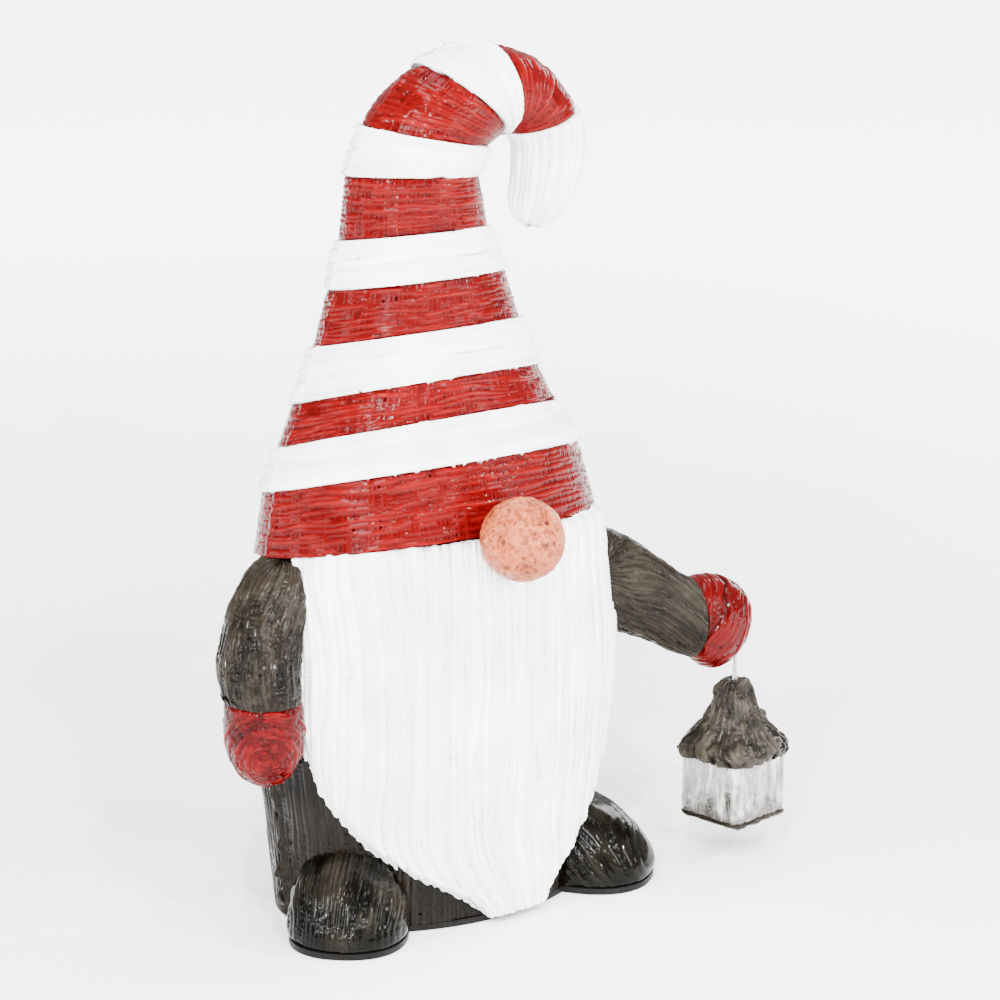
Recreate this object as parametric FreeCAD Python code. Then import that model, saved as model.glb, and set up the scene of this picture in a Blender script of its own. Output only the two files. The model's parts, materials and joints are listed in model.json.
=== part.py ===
import FreeCAD, Part
import math
import os

# Garden gnome light figure, in millimetres.
# Origin: on the body's axis at the ground. +Z up, the gnome faces -Y, its left hand is at +X.

# ---------------------------------------------------------------- body
body_height = 251.0          # ground to the brim's lower edge, on the axis
body_half_width = 130.5      # at the belly
body_half_depth = 86.0
shell_wall = 3.6
body_stations = [            # share of the height, inset in width, inset in depth
    (0.00, 17.5, 6.0),
    (0.20, 12.5, 4.0),
    (0.45, 4.5, 1.0),
    (0.66, 0.0, 0.0),
    (0.84, 4.5, 2.0),
]
body_top_inset = (12.5, 5.0)

# ---------------------------------------------------------------- base
plate_thickness = 4.0
plate_rim = 0.8
screw_spot = (80.0, 38.0)
screw_radius = 1.6
screw_head_radius = 3.4
screw_head_height = 1.9
screw_length = 16.0
anchor_size = (24.0, 20.0, 18.0)

# ---------------------------------------------------------------- hat
brim_overhang = 6.0          # brim beyond the body's top edge
brim_depth_overhang = 3.5
neck_half_width = 47.5
neck_half_depth = 37.0
hat_wall = 5.0
white_proud = 2.0            # white courses stand out from the red ones
courses = [  # height above the brim's edge, fullness (1 brim, 0 neck), front rise, right fall, lean, setback
    (0.0, 1.00, 0.18, 0.00, -1.0, 0.0),
    (43.0, 0.87, 0.27, 0.00, -3.5, 2.0),
    (70.5, 0.69, 0.32, 0.00, -5.5, 4.0),
    (97.5, 0.525, 0.30, 0.00, -6.0, 5.0),
    (133.0, 0.335, 0.25, 0.00, -5.0, 4.5),
    (169.0, 0.19, 0.18, 0.00, -6.5, 3.0),
    (200.0, 0.055, 0.19, 0.02, -9.5, 1.5),
    (238.5, -0.02, 0.10, 0.08, -11.0, 0.0),
]
curl_side_gap = 20.5         # fold line of the curl beyond the neck's side
curl_height = 261.0          # fold line above the brim's lower edge
curl_stations = [            # inner x, z, outer x, z from the fold, half depth, in neck half widths
    (-0.33, -0.15, -2.12, 0.25, 0.73),
    (-0.15, -0.06, -1.75, 0.69, 0.74),
    (-0.06, 0.00, -1.24, 0.99, 0.70),
    (0.00, 0.03, -0.53, 1.21, 0.63),
    (0.04, 0.03, -0.13, 1.17, 0.60),
    (0.13, 0.00, 0.69, 0.86, 0.56),
    (0.21, -0.06, 1.18, 0.25, 0.53),
    (0.42, -0.29, 1.27, -0.29, 0.47),
    (0.39, -0.69, 1.18, -0.80, 0.42),
    (0.33, -1.05, 0.88, -1.23, 0.33),
    (0.36, -1.26, 0.69, -1.38, 0.19),
    (0.46, -1.35, 0.59, -1.39, 0.075),
]
curl_courses = [(0, 2), (2, 4), (4, 6), (6, 11)]     # first and last station of each course
tip_inner_end = 9            # the hollow of the tip stops at this station

# ---------------------------------------------------------------- beard and nose
beard_thickness = 8.5
beard_foot = (14.0, 22.0)    # tip's centre across, tip's half width
beard_side_inset = 6.0       # from the body's half width at the widest row
beard_rows = [               # share of the body's height, share of the beard's half width
    (0.06, 0.27),
    (0.15, 0.52),
    (0.27, 0.75),
    (0.40, 0.90),
    (0.55, 0.98),
    (0.70, 1.00),
    (0.88, 0.97),
    (1.08, 0.91),
]
nose_radius = 27.0
nose_stand_off = 18.5        # nose's centre in front of the beard
nose_height = 268.0

# ---------------------------------------------------------------- arms
sleeve_wall = 3.4
mitten_wall = 3.4
cuff_right = (-146.0, -24.0, 165.0)
right_sleeve = [             # height above the cuff, in towards the body, forward, half width, half depth
    (0.0, 0.0, 0.0, 24.0, 27.0),
    (16.0, 0.5, 3.0, 26.0, 30.0),
    (38.0, 7.0, 9.0, 26.0, 30.5),
    (62.0, 19.0, 14.0, 25.0, 28.5),
    (80.0, 30.0, 17.0, 21.0, 23.0),
    (86.0, 41.0, 18.0, 13.0, 15.0),
]
right_mitten = [             # depth below the cuff, inward, half width, half depth
    (0.0, 0.0, 24.0, 26.0),
    (8.0, 1.0, 25.5, 27.0),
    (26.0, 1.5, 25.5, 26.5),
    (43.0, 1.5, 21.0, 22.5),
    (53.0, 1.5, 13.0, 14.5),
    (57.0, 1.5, 5.0, 6.0),
]
cuff_left = (164.0, -70.0, 178.0)
left_sleeve = [              # back along the arm, outward, rise, half depth, half height
    (0.0, 0.0, 0.0, 25.0, 28.5),
    (17.0, 17.0, 11.0, 28.0, 31.5),
    (34.0, 35.0, 22.0, 32.0, 35.5),
    (52.0, 46.0, 29.0, 34.0, 37.0),
    (72.0, 54.0, 33.0, 33.0, 35.0),
]
left_mitten = [              # beyond the cuff, rise, half depth, half height
    (0.0, 0.0, 23.0, 26.5),
    (9.0, -4.0, 25.5, 31.0),
    (23.0, -7.0, 26.0, 33.0),
    (37.0, -6.0, 22.0, 26.0),
    (45.5, -3.0, 14.0, 15.5),
    (49.0, 0.0, 5.0, 6.0),
]

# ---------------------------------------------------------------- boots
boot_centre = (98.5, 50.7)
boot_splay = 40.0
boot_wall = 3.6
boot_stations = [            # height, half length, half width, heelward shift
    (4.0, 42.0, 38.5, 0.0),
    (14.0, 43.0, 39.5, 0.5),
    (31.0, 38.5, 36.0, 5.5),
    (46.0, 29.0, 29.0, 13.0),
    (56.0, 17.5, 18.5, 20.0),
    (60.0, 8.0, 8.0, 23.0),
]

# ---------------------------------------------------------------- battery box
cell_radius = 7.25
cell_length = 50.5
cell_pitch = 15.2
cell_count = 3
cell_gap = 0.5
box_wall = 2.0
box_centre_y = 42.0          # the battery opening's centre, behind the axis
box_turn = -90.0             # the cells lie across the figure
contact_depth = 2.0
board_bay = 16.0
board_size = (13.0, 46.0, 1.6)
board_height = 9.0
box_clear = 0.4
catch_land = 5.0             # solid land in front of the cells that the door closes against
door_thickness = 2.4
door_height = 0.8            # the door's face above the ground
door_gap = 0.5
hinge_pin_radius = 0.7
hinge_running_gap = 0.05
hinge_pin_overrun = 4.0
slider_travel = 4.0
slider_knob = (3.0, 3.0)
slider_shoe = (7.0, 6.0, 2.0)
slider_gap = 0.3

# ---------------------------------------------------------------- lamps and leads
lead_radius = 1.1
lamp_radius = 3.2
lamp_length = 9.0
clip_size = (12.0, 10.0)
clip_heights = [70.0, 130.0, 203.0]
bore_radius = 4.0
splice_radius = 3.0
splice_length = 18.0
splice_run = 7               # the lead's run that carries the splice

# ---------------------------------------------------------------- lantern
lead_offset = (43.0, 0.0, -28.0)     # lead's outlet from the left cuff
lantern_turn = 11.0
lantern_swing_length = 34.0          # between the lead's two pivots
bush_radius = 4.6
bush_length = 10.0
bush_mouth = 4.5                     # mouth below the upper pivot
pocket_radius = 3.6
lead_ball_radius = 1.5
ball_gap = 0.05
roof_top_above_pivot = 4.0
roof_height = 53.0
roof_profile = [                     # share of the height, half width
    (0.00, 29.5),
    (0.14, 30.5),
    (0.28, 25.5),
    (0.47, 18.0),
    (0.70, 13.0),
    (0.90, 10.0),
    (1.00, 6.5),
]
ferrule_radius = 3.0
ferrule_length = 8.0
recess_radius = 4.2
roof_crown = 18.0                    # solid top of the roof
lantern_half_width = 26.3
lantern_wall = 2.6
corner_radius = 6.0
roof_rounding = 0.45                 # corner radius as a share of the roof's half width
lantern_height = 98.0                # roof's top to the floor's underside
lantern_floor = 4.0
lantern_seat = 3.5                   # walls reach this far up inside the eaves
seat_gap = 0.3
lantern_lamp_radius = 4.0
lantern_lamp_length = 16.0

V = FreeCAD.Vector
POINTS_ROUND = 24
LARGE = 2000.0
SMALL_SLIVER = 0.5


# ---------------------------------------------------------------- shape helpers
def closed_curve(centre, half_u, half_v, u, v, power=2.0):
    """A closed spline through points of a superellipse; u and v span its plane."""
    points = []
    for i in range(POINTS_ROUND):
        angle = 2 * math.pi * i / POINTS_ROUND
        c, s = math.cos(angle), math.sin(angle)
        a = half_u * math.copysign(abs(c) ** (2 / power), c)
        b = half_v * math.copysign(abs(s) ** (2 / power), s)
        points.append(centre + u * a + v * b)
    curve = Part.BSplineCurve()
    curve.interpolate(Points=points, PeriodicFlag=True)
    return Part.Wire(curve.toShape())


def loft(wires):
    return Part.makeLoft(wires, True, False)


def block(low, high):
    size = [b - a for a, b in zip(low, high)]
    return Part.makeBox(size[0], size[1], size[2], V(*low))


def cylinder(radius, low, length, direction=V(0, 0, 1)):
    return Part.makeCylinder(radius, length, V(*low), direction)


def largest(shape):
    return max(shape.Solids, key=lambda solid: solid.Volume)


def whole(shape):
    """The shape without crumbs that a cut left behind."""
    kept = [solid for solid in shape.Solids if solid.Volume > SMALL_SLIVER]
    return kept[0] if len(kept) == 1 else Part.makeCompound(kept)


def corner(before, here, after):
    """A tangent arc at a point of a route: its two ends and its middle."""
    to_before, to_after = before - here, after - here
    run = min(to_before.Length, to_after.Length)
    to_before.normalize()
    to_after.normalize()
    half = (math.pi - to_before.getAngle(to_after)) / 2
    reach = 0.45 * run
    radius = reach / math.tan(half)
    middle = to_before + to_after
    middle.normalize()
    middle = here + middle * (radius / math.cos(half) - radius)
    return here + to_before * reach, middle, here + to_after * reach, radius


def routed_lead(name, points, radius):
    """A round lead along straight runs joined by tangent arcs."""
    edges = []
    start = points[0]
    radii = []
    for before, here, after in zip(points, points[1:], points[2:]):
        first, middle, last, bend = corner(before, here, after)
        edges.append(Part.LineSegment(start, first).toShape())
        edges.append(Part.Arc(first, middle, last).toShape())
        start = last
        radii.append(round(bend, 1))
    edges.append(Part.LineSegment(start, points[-1]).toShape())
    path = Part.Wire(edges)
    along = points[1] - points[0]
    section = Part.Wire(Part.makeCircle(radius, points[0], along))
    tube = path.makePipeShell([section], True, False)
    length = sum(edge.Length for edge in edges)
    ratio = tube.Volume / (length * math.pi * radius ** 2)
    print(name, "bends", radii, "length", round(length, 1), "volume ratio", round(ratio, 4))
    return tube


# ---------------------------------------------------------------- body, brim and hat sections
def body_section(height_share, width, depth):
    centre = V(0, 0, plate_thickness + height_share * (body_height - plate_thickness))
    return closed_curve(centre, width, depth, V(1, 0, 0), V(0, -1, 0))


def body_loft(offset):
    """The body's envelope, grown or shrunk by an offset, up to the sloping top plane."""
    wires = []
    for share, width_inset, depth_inset in body_stations:
        width = body_half_width - width_inset + offset
        depth = body_half_depth - depth_inset + offset
        wires.append(body_section(share, width, depth))
    top = V(0, -1, courses[0][2])
    width = body_half_width - body_top_inset[0] + offset
    depth = body_half_depth - body_top_inset[1] + offset
    wires.append(closed_curve(V(0, 0, body_height), width, depth, V(1, 0, 0), top))
    return loft(wires)


brim_half_width = body_half_width - body_top_inset[0] + brim_overhang
brim_half_depth = body_half_depth - body_top_inset[1] + brim_depth_overhang


def cone_section(course, offset):
    """A sloping section of the hat's cone."""
    height, fullness, rise, fall, lean, setback = course
    width = neck_half_width + (brim_half_width - neck_half_width) * fullness + offset
    depth = neck_half_depth + (brim_half_depth - neck_half_depth) * fullness + offset
    return closed_curve(V(lean, setback, body_height + height), width, depth,
                        V(1, 0, -fall), V(0, -1, rise))


fold = V(courses[-1][4] + neck_half_width + curl_side_gap, 0, body_height + curl_height)


def curl_section(index, offset):
    """A section of the curl between an inner and an outer point of the side view."""
    x_in, z_in, x_out, z_out, depth = [value * neck_half_width for value in curl_stations[index]]
    inner, outer = fold + V(x_in, 0, z_in), fold + V(x_out, 0, z_out)
    across = inner - outer
    half = across.Length / 2 + offset
    across.normalize()
    return closed_curve((inner + outer) * 0.5, half, depth + offset, across, V(0, -1, 0))


def between(first, second, share):
    return [a + (b - a) * share for a, b in zip(first, second)]


def cone_course(index, offset):
    low, high = courses[index], courses[index + 1]
    return [cone_section(between(low, high, share), offset) for share in (0.0, 0.5, 1.0)]


cone_courses = len(courses) - 1
course_count = cone_courses + 1 + len(curl_courses)


def course_sections(index, offset, hollow=False):
    """The sections of one hat course, from the brim (0) to the tip."""
    if index < cone_courses:
        return cone_course(index, offset)
    if index == cone_courses:
        return [cone_section(courses[-1], offset), curl_section(0, offset)]
    first, last = curl_courses[index - cone_courses - 1]
    if hollow:
        last = min(last, tip_inner_end)
    return [curl_section(k, offset) for k in range(first, last + 1)]


# ---------------------------------------------------------------- shells
def make_body(body_outer):
    shell = body_outer.cut(body_loft(-shell_wall))
    lead_hole = cylinder(bore_radius, (0, lead_wall_y, lead_wall_z), LARGE, V(1, 0, 0))
    shell = shell.cut(lead_hole)
    front = shell.common(block((-LARGE, -LARGE, 0), (LARGE, 0, LARGE)))
    back = shell.common(block((-LARGE, 0, 0), (LARGE, LARGE, LARGE)))
    return whole(front), whole(back)


def make_courses():
    pieces = {}
    for index in range(course_count):
        offset = white_proud if index % 2 else 0.0
        ring = loft(course_sections(index, offset))
        hollow = loft(course_sections(index, -hat_wall, hollow=True))
        pieces[f"hat_band_{index + 1:02d}"] = largest(ring.cut(hollow))
    return pieces


def beard_outline():
    """Front view of the beard as a flat face in the XZ plane."""
    half = body_half_width - beard_side_inset
    foot_x, foot_half = beard_foot
    low = V(foot_x, 0, plate_thickness)
    right, left = [], []
    for height_share, width_share in beard_rows:
        z = plate_thickness + height_share * (body_height - plate_thickness)
        drift = foot_x * max(0.0, 1 - 4 * height_share)
        right.append(V(drift + half * width_share, 0, z))
        left.append(V(drift - half * width_share, 0, z))
    side_right = Part.BSplineCurve()
    side_right.interpolate([low + V(foot_half, 0, 0)] + right)
    side_left = Part.BSplineCurve()
    side_left.interpolate([low - V(foot_half, 0, 0)] + left)
    bottom = Part.makeLine(low - V(foot_half, 0, 0), low + V(foot_half, 0, 0))
    top = Part.makeLine(left[-1], right[-1])
    return Part.Face(Part.Wire([bottom, side_right.toShape(), top, side_left.toShape()]))


def make_beard(beard_outer, body_outer):
    prism = beard_outline().extrude(V(0, -LARGE, 0))
    return largest(beard_outer.cut(body_outer).common(prism))


def make_nose(beard_outer, brim_outer):
    front = body_half_depth - body_top_inset[1] + beard_thickness
    centre = V(0, -(front + nose_stand_off), nose_height)
    ball = Part.makeSphere(nose_radius, centre)
    hollow = Part.makeSphere(nose_radius - hat_wall, centre)
    return largest(ball.cut(hollow).cut(beard_outer).cut(brim_outer))


# ---------------------------------------------------------------- arms and boots
def right_arm_sections(stations, direction, offset):
    x, y, z = cuff_right
    wires = []
    for rise, inward, forward, width, depth in stations:
        centre = V(x + inward, y + forward, z + direction * rise)
        wires.append(closed_curve(centre, width + offset, depth + offset, V(1, 0, 0), V(0, 1, 0)))
    return wires


def left_arm_sections(stations, offset):
    x, y, z = cuff_left
    wires = []
    for along, back, rise, depth, height in stations:
        centre = V(x + along, y + back, z + rise)
        wires.append(closed_curve(centre, depth + offset, height + offset, V(0, 1, 0), V(0, 0, 1)))
    return wires


def hollow_limb(sections, stations, wall, closed):
    """A tube of strand; a closed one is hollow up to the last station but two."""
    inner = stations[:-2] if closed else stations
    return loft(sections(stations, 0.0)).cut(loft(sections(inner, -wall)))


def make_right_arm(body_outer, beard):
    mitten_stations = [(z, x, 0.0, width, depth) for z, x, width, depth in right_mitten]
    sleeve = hollow_limb(lambda s, o: right_arm_sections(s, 1, o), right_sleeve, sleeve_wall, True)
    mitten = hollow_limb(lambda s, o: right_arm_sections(s, -1, o), mitten_stations, mitten_wall, True)
    return [largest(piece.cut(body_outer).cut(beard)) for piece in (sleeve, mitten)]


def make_left_arm(body_outer, beard, outlet, feed):
    sleeve_stations = [(-x, y, z, depth, height) for x, y, z, depth, height in left_sleeve]
    mitten_stations = [(x, 0.0, z, depth, height) for x, z, depth, height in left_mitten]
    sleeve = hollow_limb(left_arm_sections, sleeve_stations, sleeve_wall, False)
    mitten = hollow_limb(left_arm_sections, mitten_stations, mitten_wall, True)
    mouth = cylinder(bush_radius, tuple(outlet - V(0, 0, LARGE)), LARGE + bush_length)
    return largest(sleeve.cut(body_outer).cut(beard)), largest(mitten.cut(mouth).cut(feed))


def boot_wires(side, offset):
    wires = []
    turn = math.radians(boot_splay)
    toe = V(side * math.sin(turn), -math.cos(turn), 0)
    across = V(-toe.y, toe.x, 0)
    for height, length, width, shift in boot_stations:
        centre = V(side * boot_centre[0], -boot_centre[1], height) - toe * shift
        wires.append(closed_curve(centre, length + offset, width + offset, toe, across, 2.3))
    return wires


def make_boot(side, body_outer, beard):
    hollow = loft(boot_wires(side, -boot_wall)[:-1])
    return largest(loft(boot_wires(side, 0.0)).cut(hollow).cut(body_outer).cut(beard))


# ---------------------------------------------------------------- base plate and its fixings
def screw_spots():
    return [(sx * screw_spot[0], sy * screw_spot[1]) for sx in (-1, 1) for sy in (-1, 1)]


def make_screw(x, y):
    head = Part.makeCone(screw_head_radius, screw_radius, screw_head_height, V(x, y, 0))
    return head.fuse(cylinder(screw_radius, (x, y, 0), screw_length))


def sole_outline():
    """Outline solid of the plate: the body's foot with both boots, a rim wider than them."""
    lowest = body_stations[0]
    width = body_half_width - lowest[1] + plate_rim
    depth = body_half_depth - lowest[2] + plate_rim
    up = V(0, 0, plate_thickness)
    foot = Part.Face(closed_curve(V(0, 0, 0), width, depth, V(1, 0, 0), V(0, -1, 0))).extrude(up)
    for side in (-1, 1):
        sole = boot_wires(side, plate_rim)[0]
        sole.translate(V(0, 0, -boot_stations[0][0]))
        foot = foot.fuse(Part.Face(sole).extrude(up))
    return foot.removeSplitter()


bay_half_width = (cell_count - 1) * cell_pitch / 2 + cell_radius + cell_gap
bay_half_length = cell_length / 2 + contact_depth
opening_low = (-bay_half_width - box_wall, -bay_half_length - catch_land)
opening_high = (bay_half_width + box_wall, bay_half_length + catch_land)
hinge_y = opening_high[1] - door_thickness / 2 - door_gap
hinge_z = door_height + door_thickness / 2
seal_height = plate_thickness - door_height - door_thickness
bay_top = plate_thickness + box_clear + 2 * cell_radius + box_clear
box_top = bay_top + box_wall
board_x = bay_half_width + box_wall
slider_x = board_x + board_bay / 2


def placed(piece):
    """A piece of the battery box, turned and moved from its own frame to the figure's."""
    piece = piece.copy()
    piece.rotate(V(0, 0, 0), V(0, 0, 1), box_turn)
    piece.translate(V(0, box_centre_y, 0))
    return piece


def make_base_plate(screws):
    plate = sole_outline()
    opening = block((*opening_low, -1), (*opening_high, plate_thickness + 1))
    knob_x, knob_y = slider_knob
    slot = block((slider_x - knob_x / 2 - slider_gap, -knob_y / 2 - slider_gap, -1),
                 (slider_x + knob_x / 2 + slider_gap, knob_y / 2 + slider_travel + slider_gap,
                  plate_thickness + 1))
    for cutter in (opening, slot, hinge_pin()):
        plate = plate.cut(placed(cutter))
    for screw in screws:
        plate = plate.cut(screw)
    return largest(plate)


def make_anchors(inside, screws):
    blocks = []
    size_x, size_y, size_z = anchor_size
    for (x, y), screw in zip(screw_spots(), screws):
        low = (x - size_x / 2, y - size_y / 2, plate_thickness)
        piece = block(low, (x + size_x / 2, y + size_y / 2, plate_thickness + size_z))
        blocks.append(largest(piece.common(inside).cut(screw)))
    return Part.makeCompound(blocks)


# ---------------------------------------------------------------- battery box
def hinge_pin():
    length = opening_high[0] - opening_low[0] + 2 * hinge_pin_overrun
    start = (opening_low[0] - hinge_pin_overrun, hinge_y, hinge_z)
    return cylinder(hinge_pin_radius, start, length, V(1, 0, 0))


def make_door():
    half = door_thickness / 2
    x_low, x_high = opening_low[0] + door_gap, opening_high[0] - door_gap
    plate = block((x_low, opening_low[1] + door_gap, door_height),
                  (x_high, hinge_y, door_height + door_thickness))
    barrel = cylinder(half, (x_low, hinge_y, hinge_z), x_high - x_low, V(1, 0, 0))
    door = plate.fuse(barrel)
    bore = cylinder(hinge_pin_radius + hinge_running_gap, (x_low - 1, hinge_y, hinge_z),
                    x_high - x_low + 2, V(1, 0, 0))
    notch_half = 7.0
    notch = block((-notch_half, opening_low[1], door_height - 1),
                  (notch_half, opening_low[1] + 2.5, door_height + door_thickness / 2))
    return largest(door.cut(bore).cut(notch).removeSplitter())


def make_seal():
    """A flat gasket stuck under the box's rim, clear of the hinge barrel."""
    low_z, high_z = plate_thickness - seal_height, plate_thickness
    inset = 0.3
    outer = block((opening_low[0] + inset, opening_low[1] + inset, low_z),
                  (opening_high[0] - inset, hinge_y - door_thickness, high_z))
    inner = block((-bay_half_width, -bay_half_length, low_z - 1),
                  (bay_half_width, bay_half_length, high_z + 1))
    return largest(outer.cut(inner))


def make_box():
    outer = block((opening_low[0] - box_wall, opening_low[1] - box_wall, plate_thickness),
                  (board_x + board_bay + box_wall, opening_high[1] + box_wall, box_top))
    cells = block((-bay_half_width, -bay_half_length, plate_thickness - 1),
                  (bay_half_width, bay_half_length, bay_top))
    board = block((board_x, -bay_half_length, plate_thickness - 1),
                  (board_x + board_bay, bay_half_length, bay_top))
    lead_hole = cylinder(lead_radius + slider_gap, (slider_x, lead_exit, 0), LARGE)
    return largest(outer.cut(cells).cut(board).cut(lead_hole))


def cell_spots():
    return [(k - (cell_count - 1) / 2) * cell_pitch for k in range(cell_count)]


def make_cells():
    z = plate_thickness + box_clear + cell_radius
    cells = []
    for k, x in enumerate(cell_spots()):
        cell = cylinder(cell_radius, (x, -cell_length / 2, z), cell_length - 1.0, V(0, 1, 0))
        cap = cylinder(2.7, (x, cell_length / 2 - 1.0, z), 1.0, V(0, 1, 0))
        cell = cell.fuse(cap)
        if k % 2:
            cell.rotate(V(x, 0, z), V(0, 0, 1), 180)
        cells.append(cell)
    return Part.makeCompound(cells)


def make_contacts():
    """Springs at the cells' flat ends, plates at their caps."""
    z = plate_thickness + box_clear + cell_radius
    springs, plates = [], []
    plate_half, plate_thin = 4.5, 0.5
    for k, x in enumerate(cell_spots()):
        flat_end = -1 if k % 2 == 0 else 1
        start = -bay_half_length if flat_end < 0 else bay_half_length - contact_depth
        coil = cylinder(3.6, (x, start, z), contact_depth, V(0, 1, 0))
        springs.append(coil.cut(cylinder(2.8, (x, start - 1, z), contact_depth + 2, V(0, 1, 0))))
        face = bay_half_length - plate_thin if flat_end < 0 else -bay_half_length
        plates.append(block((x - plate_half, face, z - plate_half),
                            (x + plate_half, face + plate_thin, z + plate_half)))
    return Part.makeCompound(springs), Part.makeCompound(plates)


def make_board():
    width, length, thin = board_size
    z = plate_thickness + board_height
    card = block((slider_x - width / 2, -length / 2, z), (slider_x + width / 2, length / 2, z + thin))
    chip = block((slider_x - 3, -16, z + thin), (slider_x + 3, -8, z + thin + 1.5))
    return card.fuse(chip).removeSplitter()


def make_slider():
    knob_x, knob_y = slider_knob
    shoe_x, shoe_y, shoe_z = slider_shoe
    knob = block((slider_x - knob_x / 2, -knob_y / 2, door_height),
                 (slider_x + knob_x / 2, knob_y / 2, plate_thickness + slider_gap))
    shoe = block((slider_x - shoe_x / 2, -shoe_y / 2, plate_thickness + slider_gap),
                 (slider_x + shoe_x / 2, shoe_y / 2, plate_thickness + slider_gap + shoe_z))
    return knob.fuse(shoe).removeSplitter()


# ---------------------------------------------------------------- lamps and leads
lead_exit = 20.0             # along the board from its middle
lead_start = V(lead_exit, box_centre_y - slider_x, box_top)
wall_clear = 14.0
lead_wall_y = cuff_left[1] + left_sleeve[2][1]
lead_wall_z = cuff_left[2] + left_sleeve[3][2] - 4.0


def lead_points():
    """Route of the lamp lead: up inside the back shell and on into the hat."""
    back = body_half_depth - wall_clear
    brim = body_height
    x = lead_start.x
    return [
        lead_start + V(0, 0, 0.5),
        lead_start + V(0, 4, 14),
        lead_start + V(1, 20, 30),
        V(x + 2, back - 22, box_top + 45),
        V(x + 3, back - 9, box_top + 68),
        V(x + 2, back - 6, 126.0),
        V(x + 1, back - 6, 168.0),
        V(x - 2, back - 9, brim - 40),
        V(x - 8, back - 17, brim + 7),
        V(x - 14, back - 28, brim + 55),
        V(x - 20, back - 40, brim + 102),
        V(x - 26, back - 51, brim + 147),
        V(x - 29, back - 59, brim + 190),
    ]


def along_lead(points, share):
    """A point and a direction in the middle of each run."""
    return [((a + (b - a) * share), (b - a)) for a, b in zip(points, points[1:])]


def make_lamps(points, tube):
    lamps = []
    for index, (here, direction) in enumerate(along_lead(points, 0.5)):
        if index < 3 or index == splice_run:
            continue
        direction.normalize()
        start = here - direction * (lamp_length / 2)
        body = Part.makeCylinder(lamp_radius, lamp_length, start, direction)
        lamps.append(body.cut(tube))
    return Part.makeCompound([largest(lamp) for lamp in lamps])


def make_clips(points, tube, lamps, inside):
    """Blocks bonded to the back shell that the lamp lead passes through."""
    clips = []
    width, height = clip_size
    for z in clip_heights:
        below = max((p for p in points if p.z <= z), key=lambda p: p.z)
        above = min((p for p in points if p.z > z), key=lambda p: p.z)
        here = below + (above - below) * ((z - below.z) / (above.z - below.z))
        piece = block((here.x - width / 2, here.y - 4.0, z - height / 2),
                      (here.x + width / 2, LARGE, z + height / 2))
        clips.append(largest(piece.common(inside).cut(tube).cut(lamps)))
    return Part.makeCompound(clips)


def feed_start():
    """Where the branch leaves the splice on the lamp lead."""
    here, direction = along_lead(lead_points(), 0.5)[splice_run]
    return here + V(splice_radius, 0, 0)


def make_splice(points, tube, feed):
    here, direction = along_lead(points, 0.5)[splice_run]
    direction.normalize()
    start = here - direction * (splice_length / 2)
    body = Part.makeCylinder(splice_radius, splice_length, start, direction)
    return largest(body.cut(tube).cut(feed))


def feed_points(outlet):
    """Route of the branch through the left sleeve to the lantern's outlet."""
    start = feed_start()
    wall = V(body_half_width - 10.0, lead_wall_y, lead_wall_z)
    cuff = V(*cuff_left)
    return [
        start,
        start + V(24, -20, 2),
        V(wall.x - 40, wall.y + 16, lead_wall_z + 4),
        V(wall.x - 12, wall.y + 1, lead_wall_z + 1),
        V(wall.x + 16, wall.y - 12, lead_wall_z - 5),
        cuff + V(0, 6, 3),
        cuff + V(26, 1, 3),
        outlet + V(-4, 0, bush_length + 14),
        outlet + V(0, 0, bush_length + 5),
        outlet + V(0, 0, bush_length),
    ]


def make_bush(outlet):
    body = cylinder(bush_radius, tuple(outlet), bush_length)
    pocket = cylinder(pocket_radius, tuple(outlet - V(0, 0, 1)), bush_length - 1.0)
    return body.cut(pocket)


# ---------------------------------------------------------------- lantern
def square_wire(centre, half, rounding):
    """A square with round corners, as lines and arcs."""
    middle = V(*centre)
    straight = half - rounding
    edges = []
    for quarter in range(4):
        turn = FreeCAD.Rotation(V(0, 0, 1), 90 * quarter)

        def spot(x, y):
            return middle + turn.multVec(V(x, y, 0))

        diagonal = straight + rounding * math.sqrt(0.5)
        edges.append(Part.LineSegment(spot(half, -straight), spot(half, straight)).toShape())
        edges.append(Part.Arc(spot(half, straight), spot(diagonal, diagonal),
                              spot(straight, half)).toShape())
    return Part.Wire(edges)


def prism(centre, half, rounding, height):
    return Part.Face(square_wire(centre, half, rounding)).extrude(V(0, 0, height))


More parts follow.
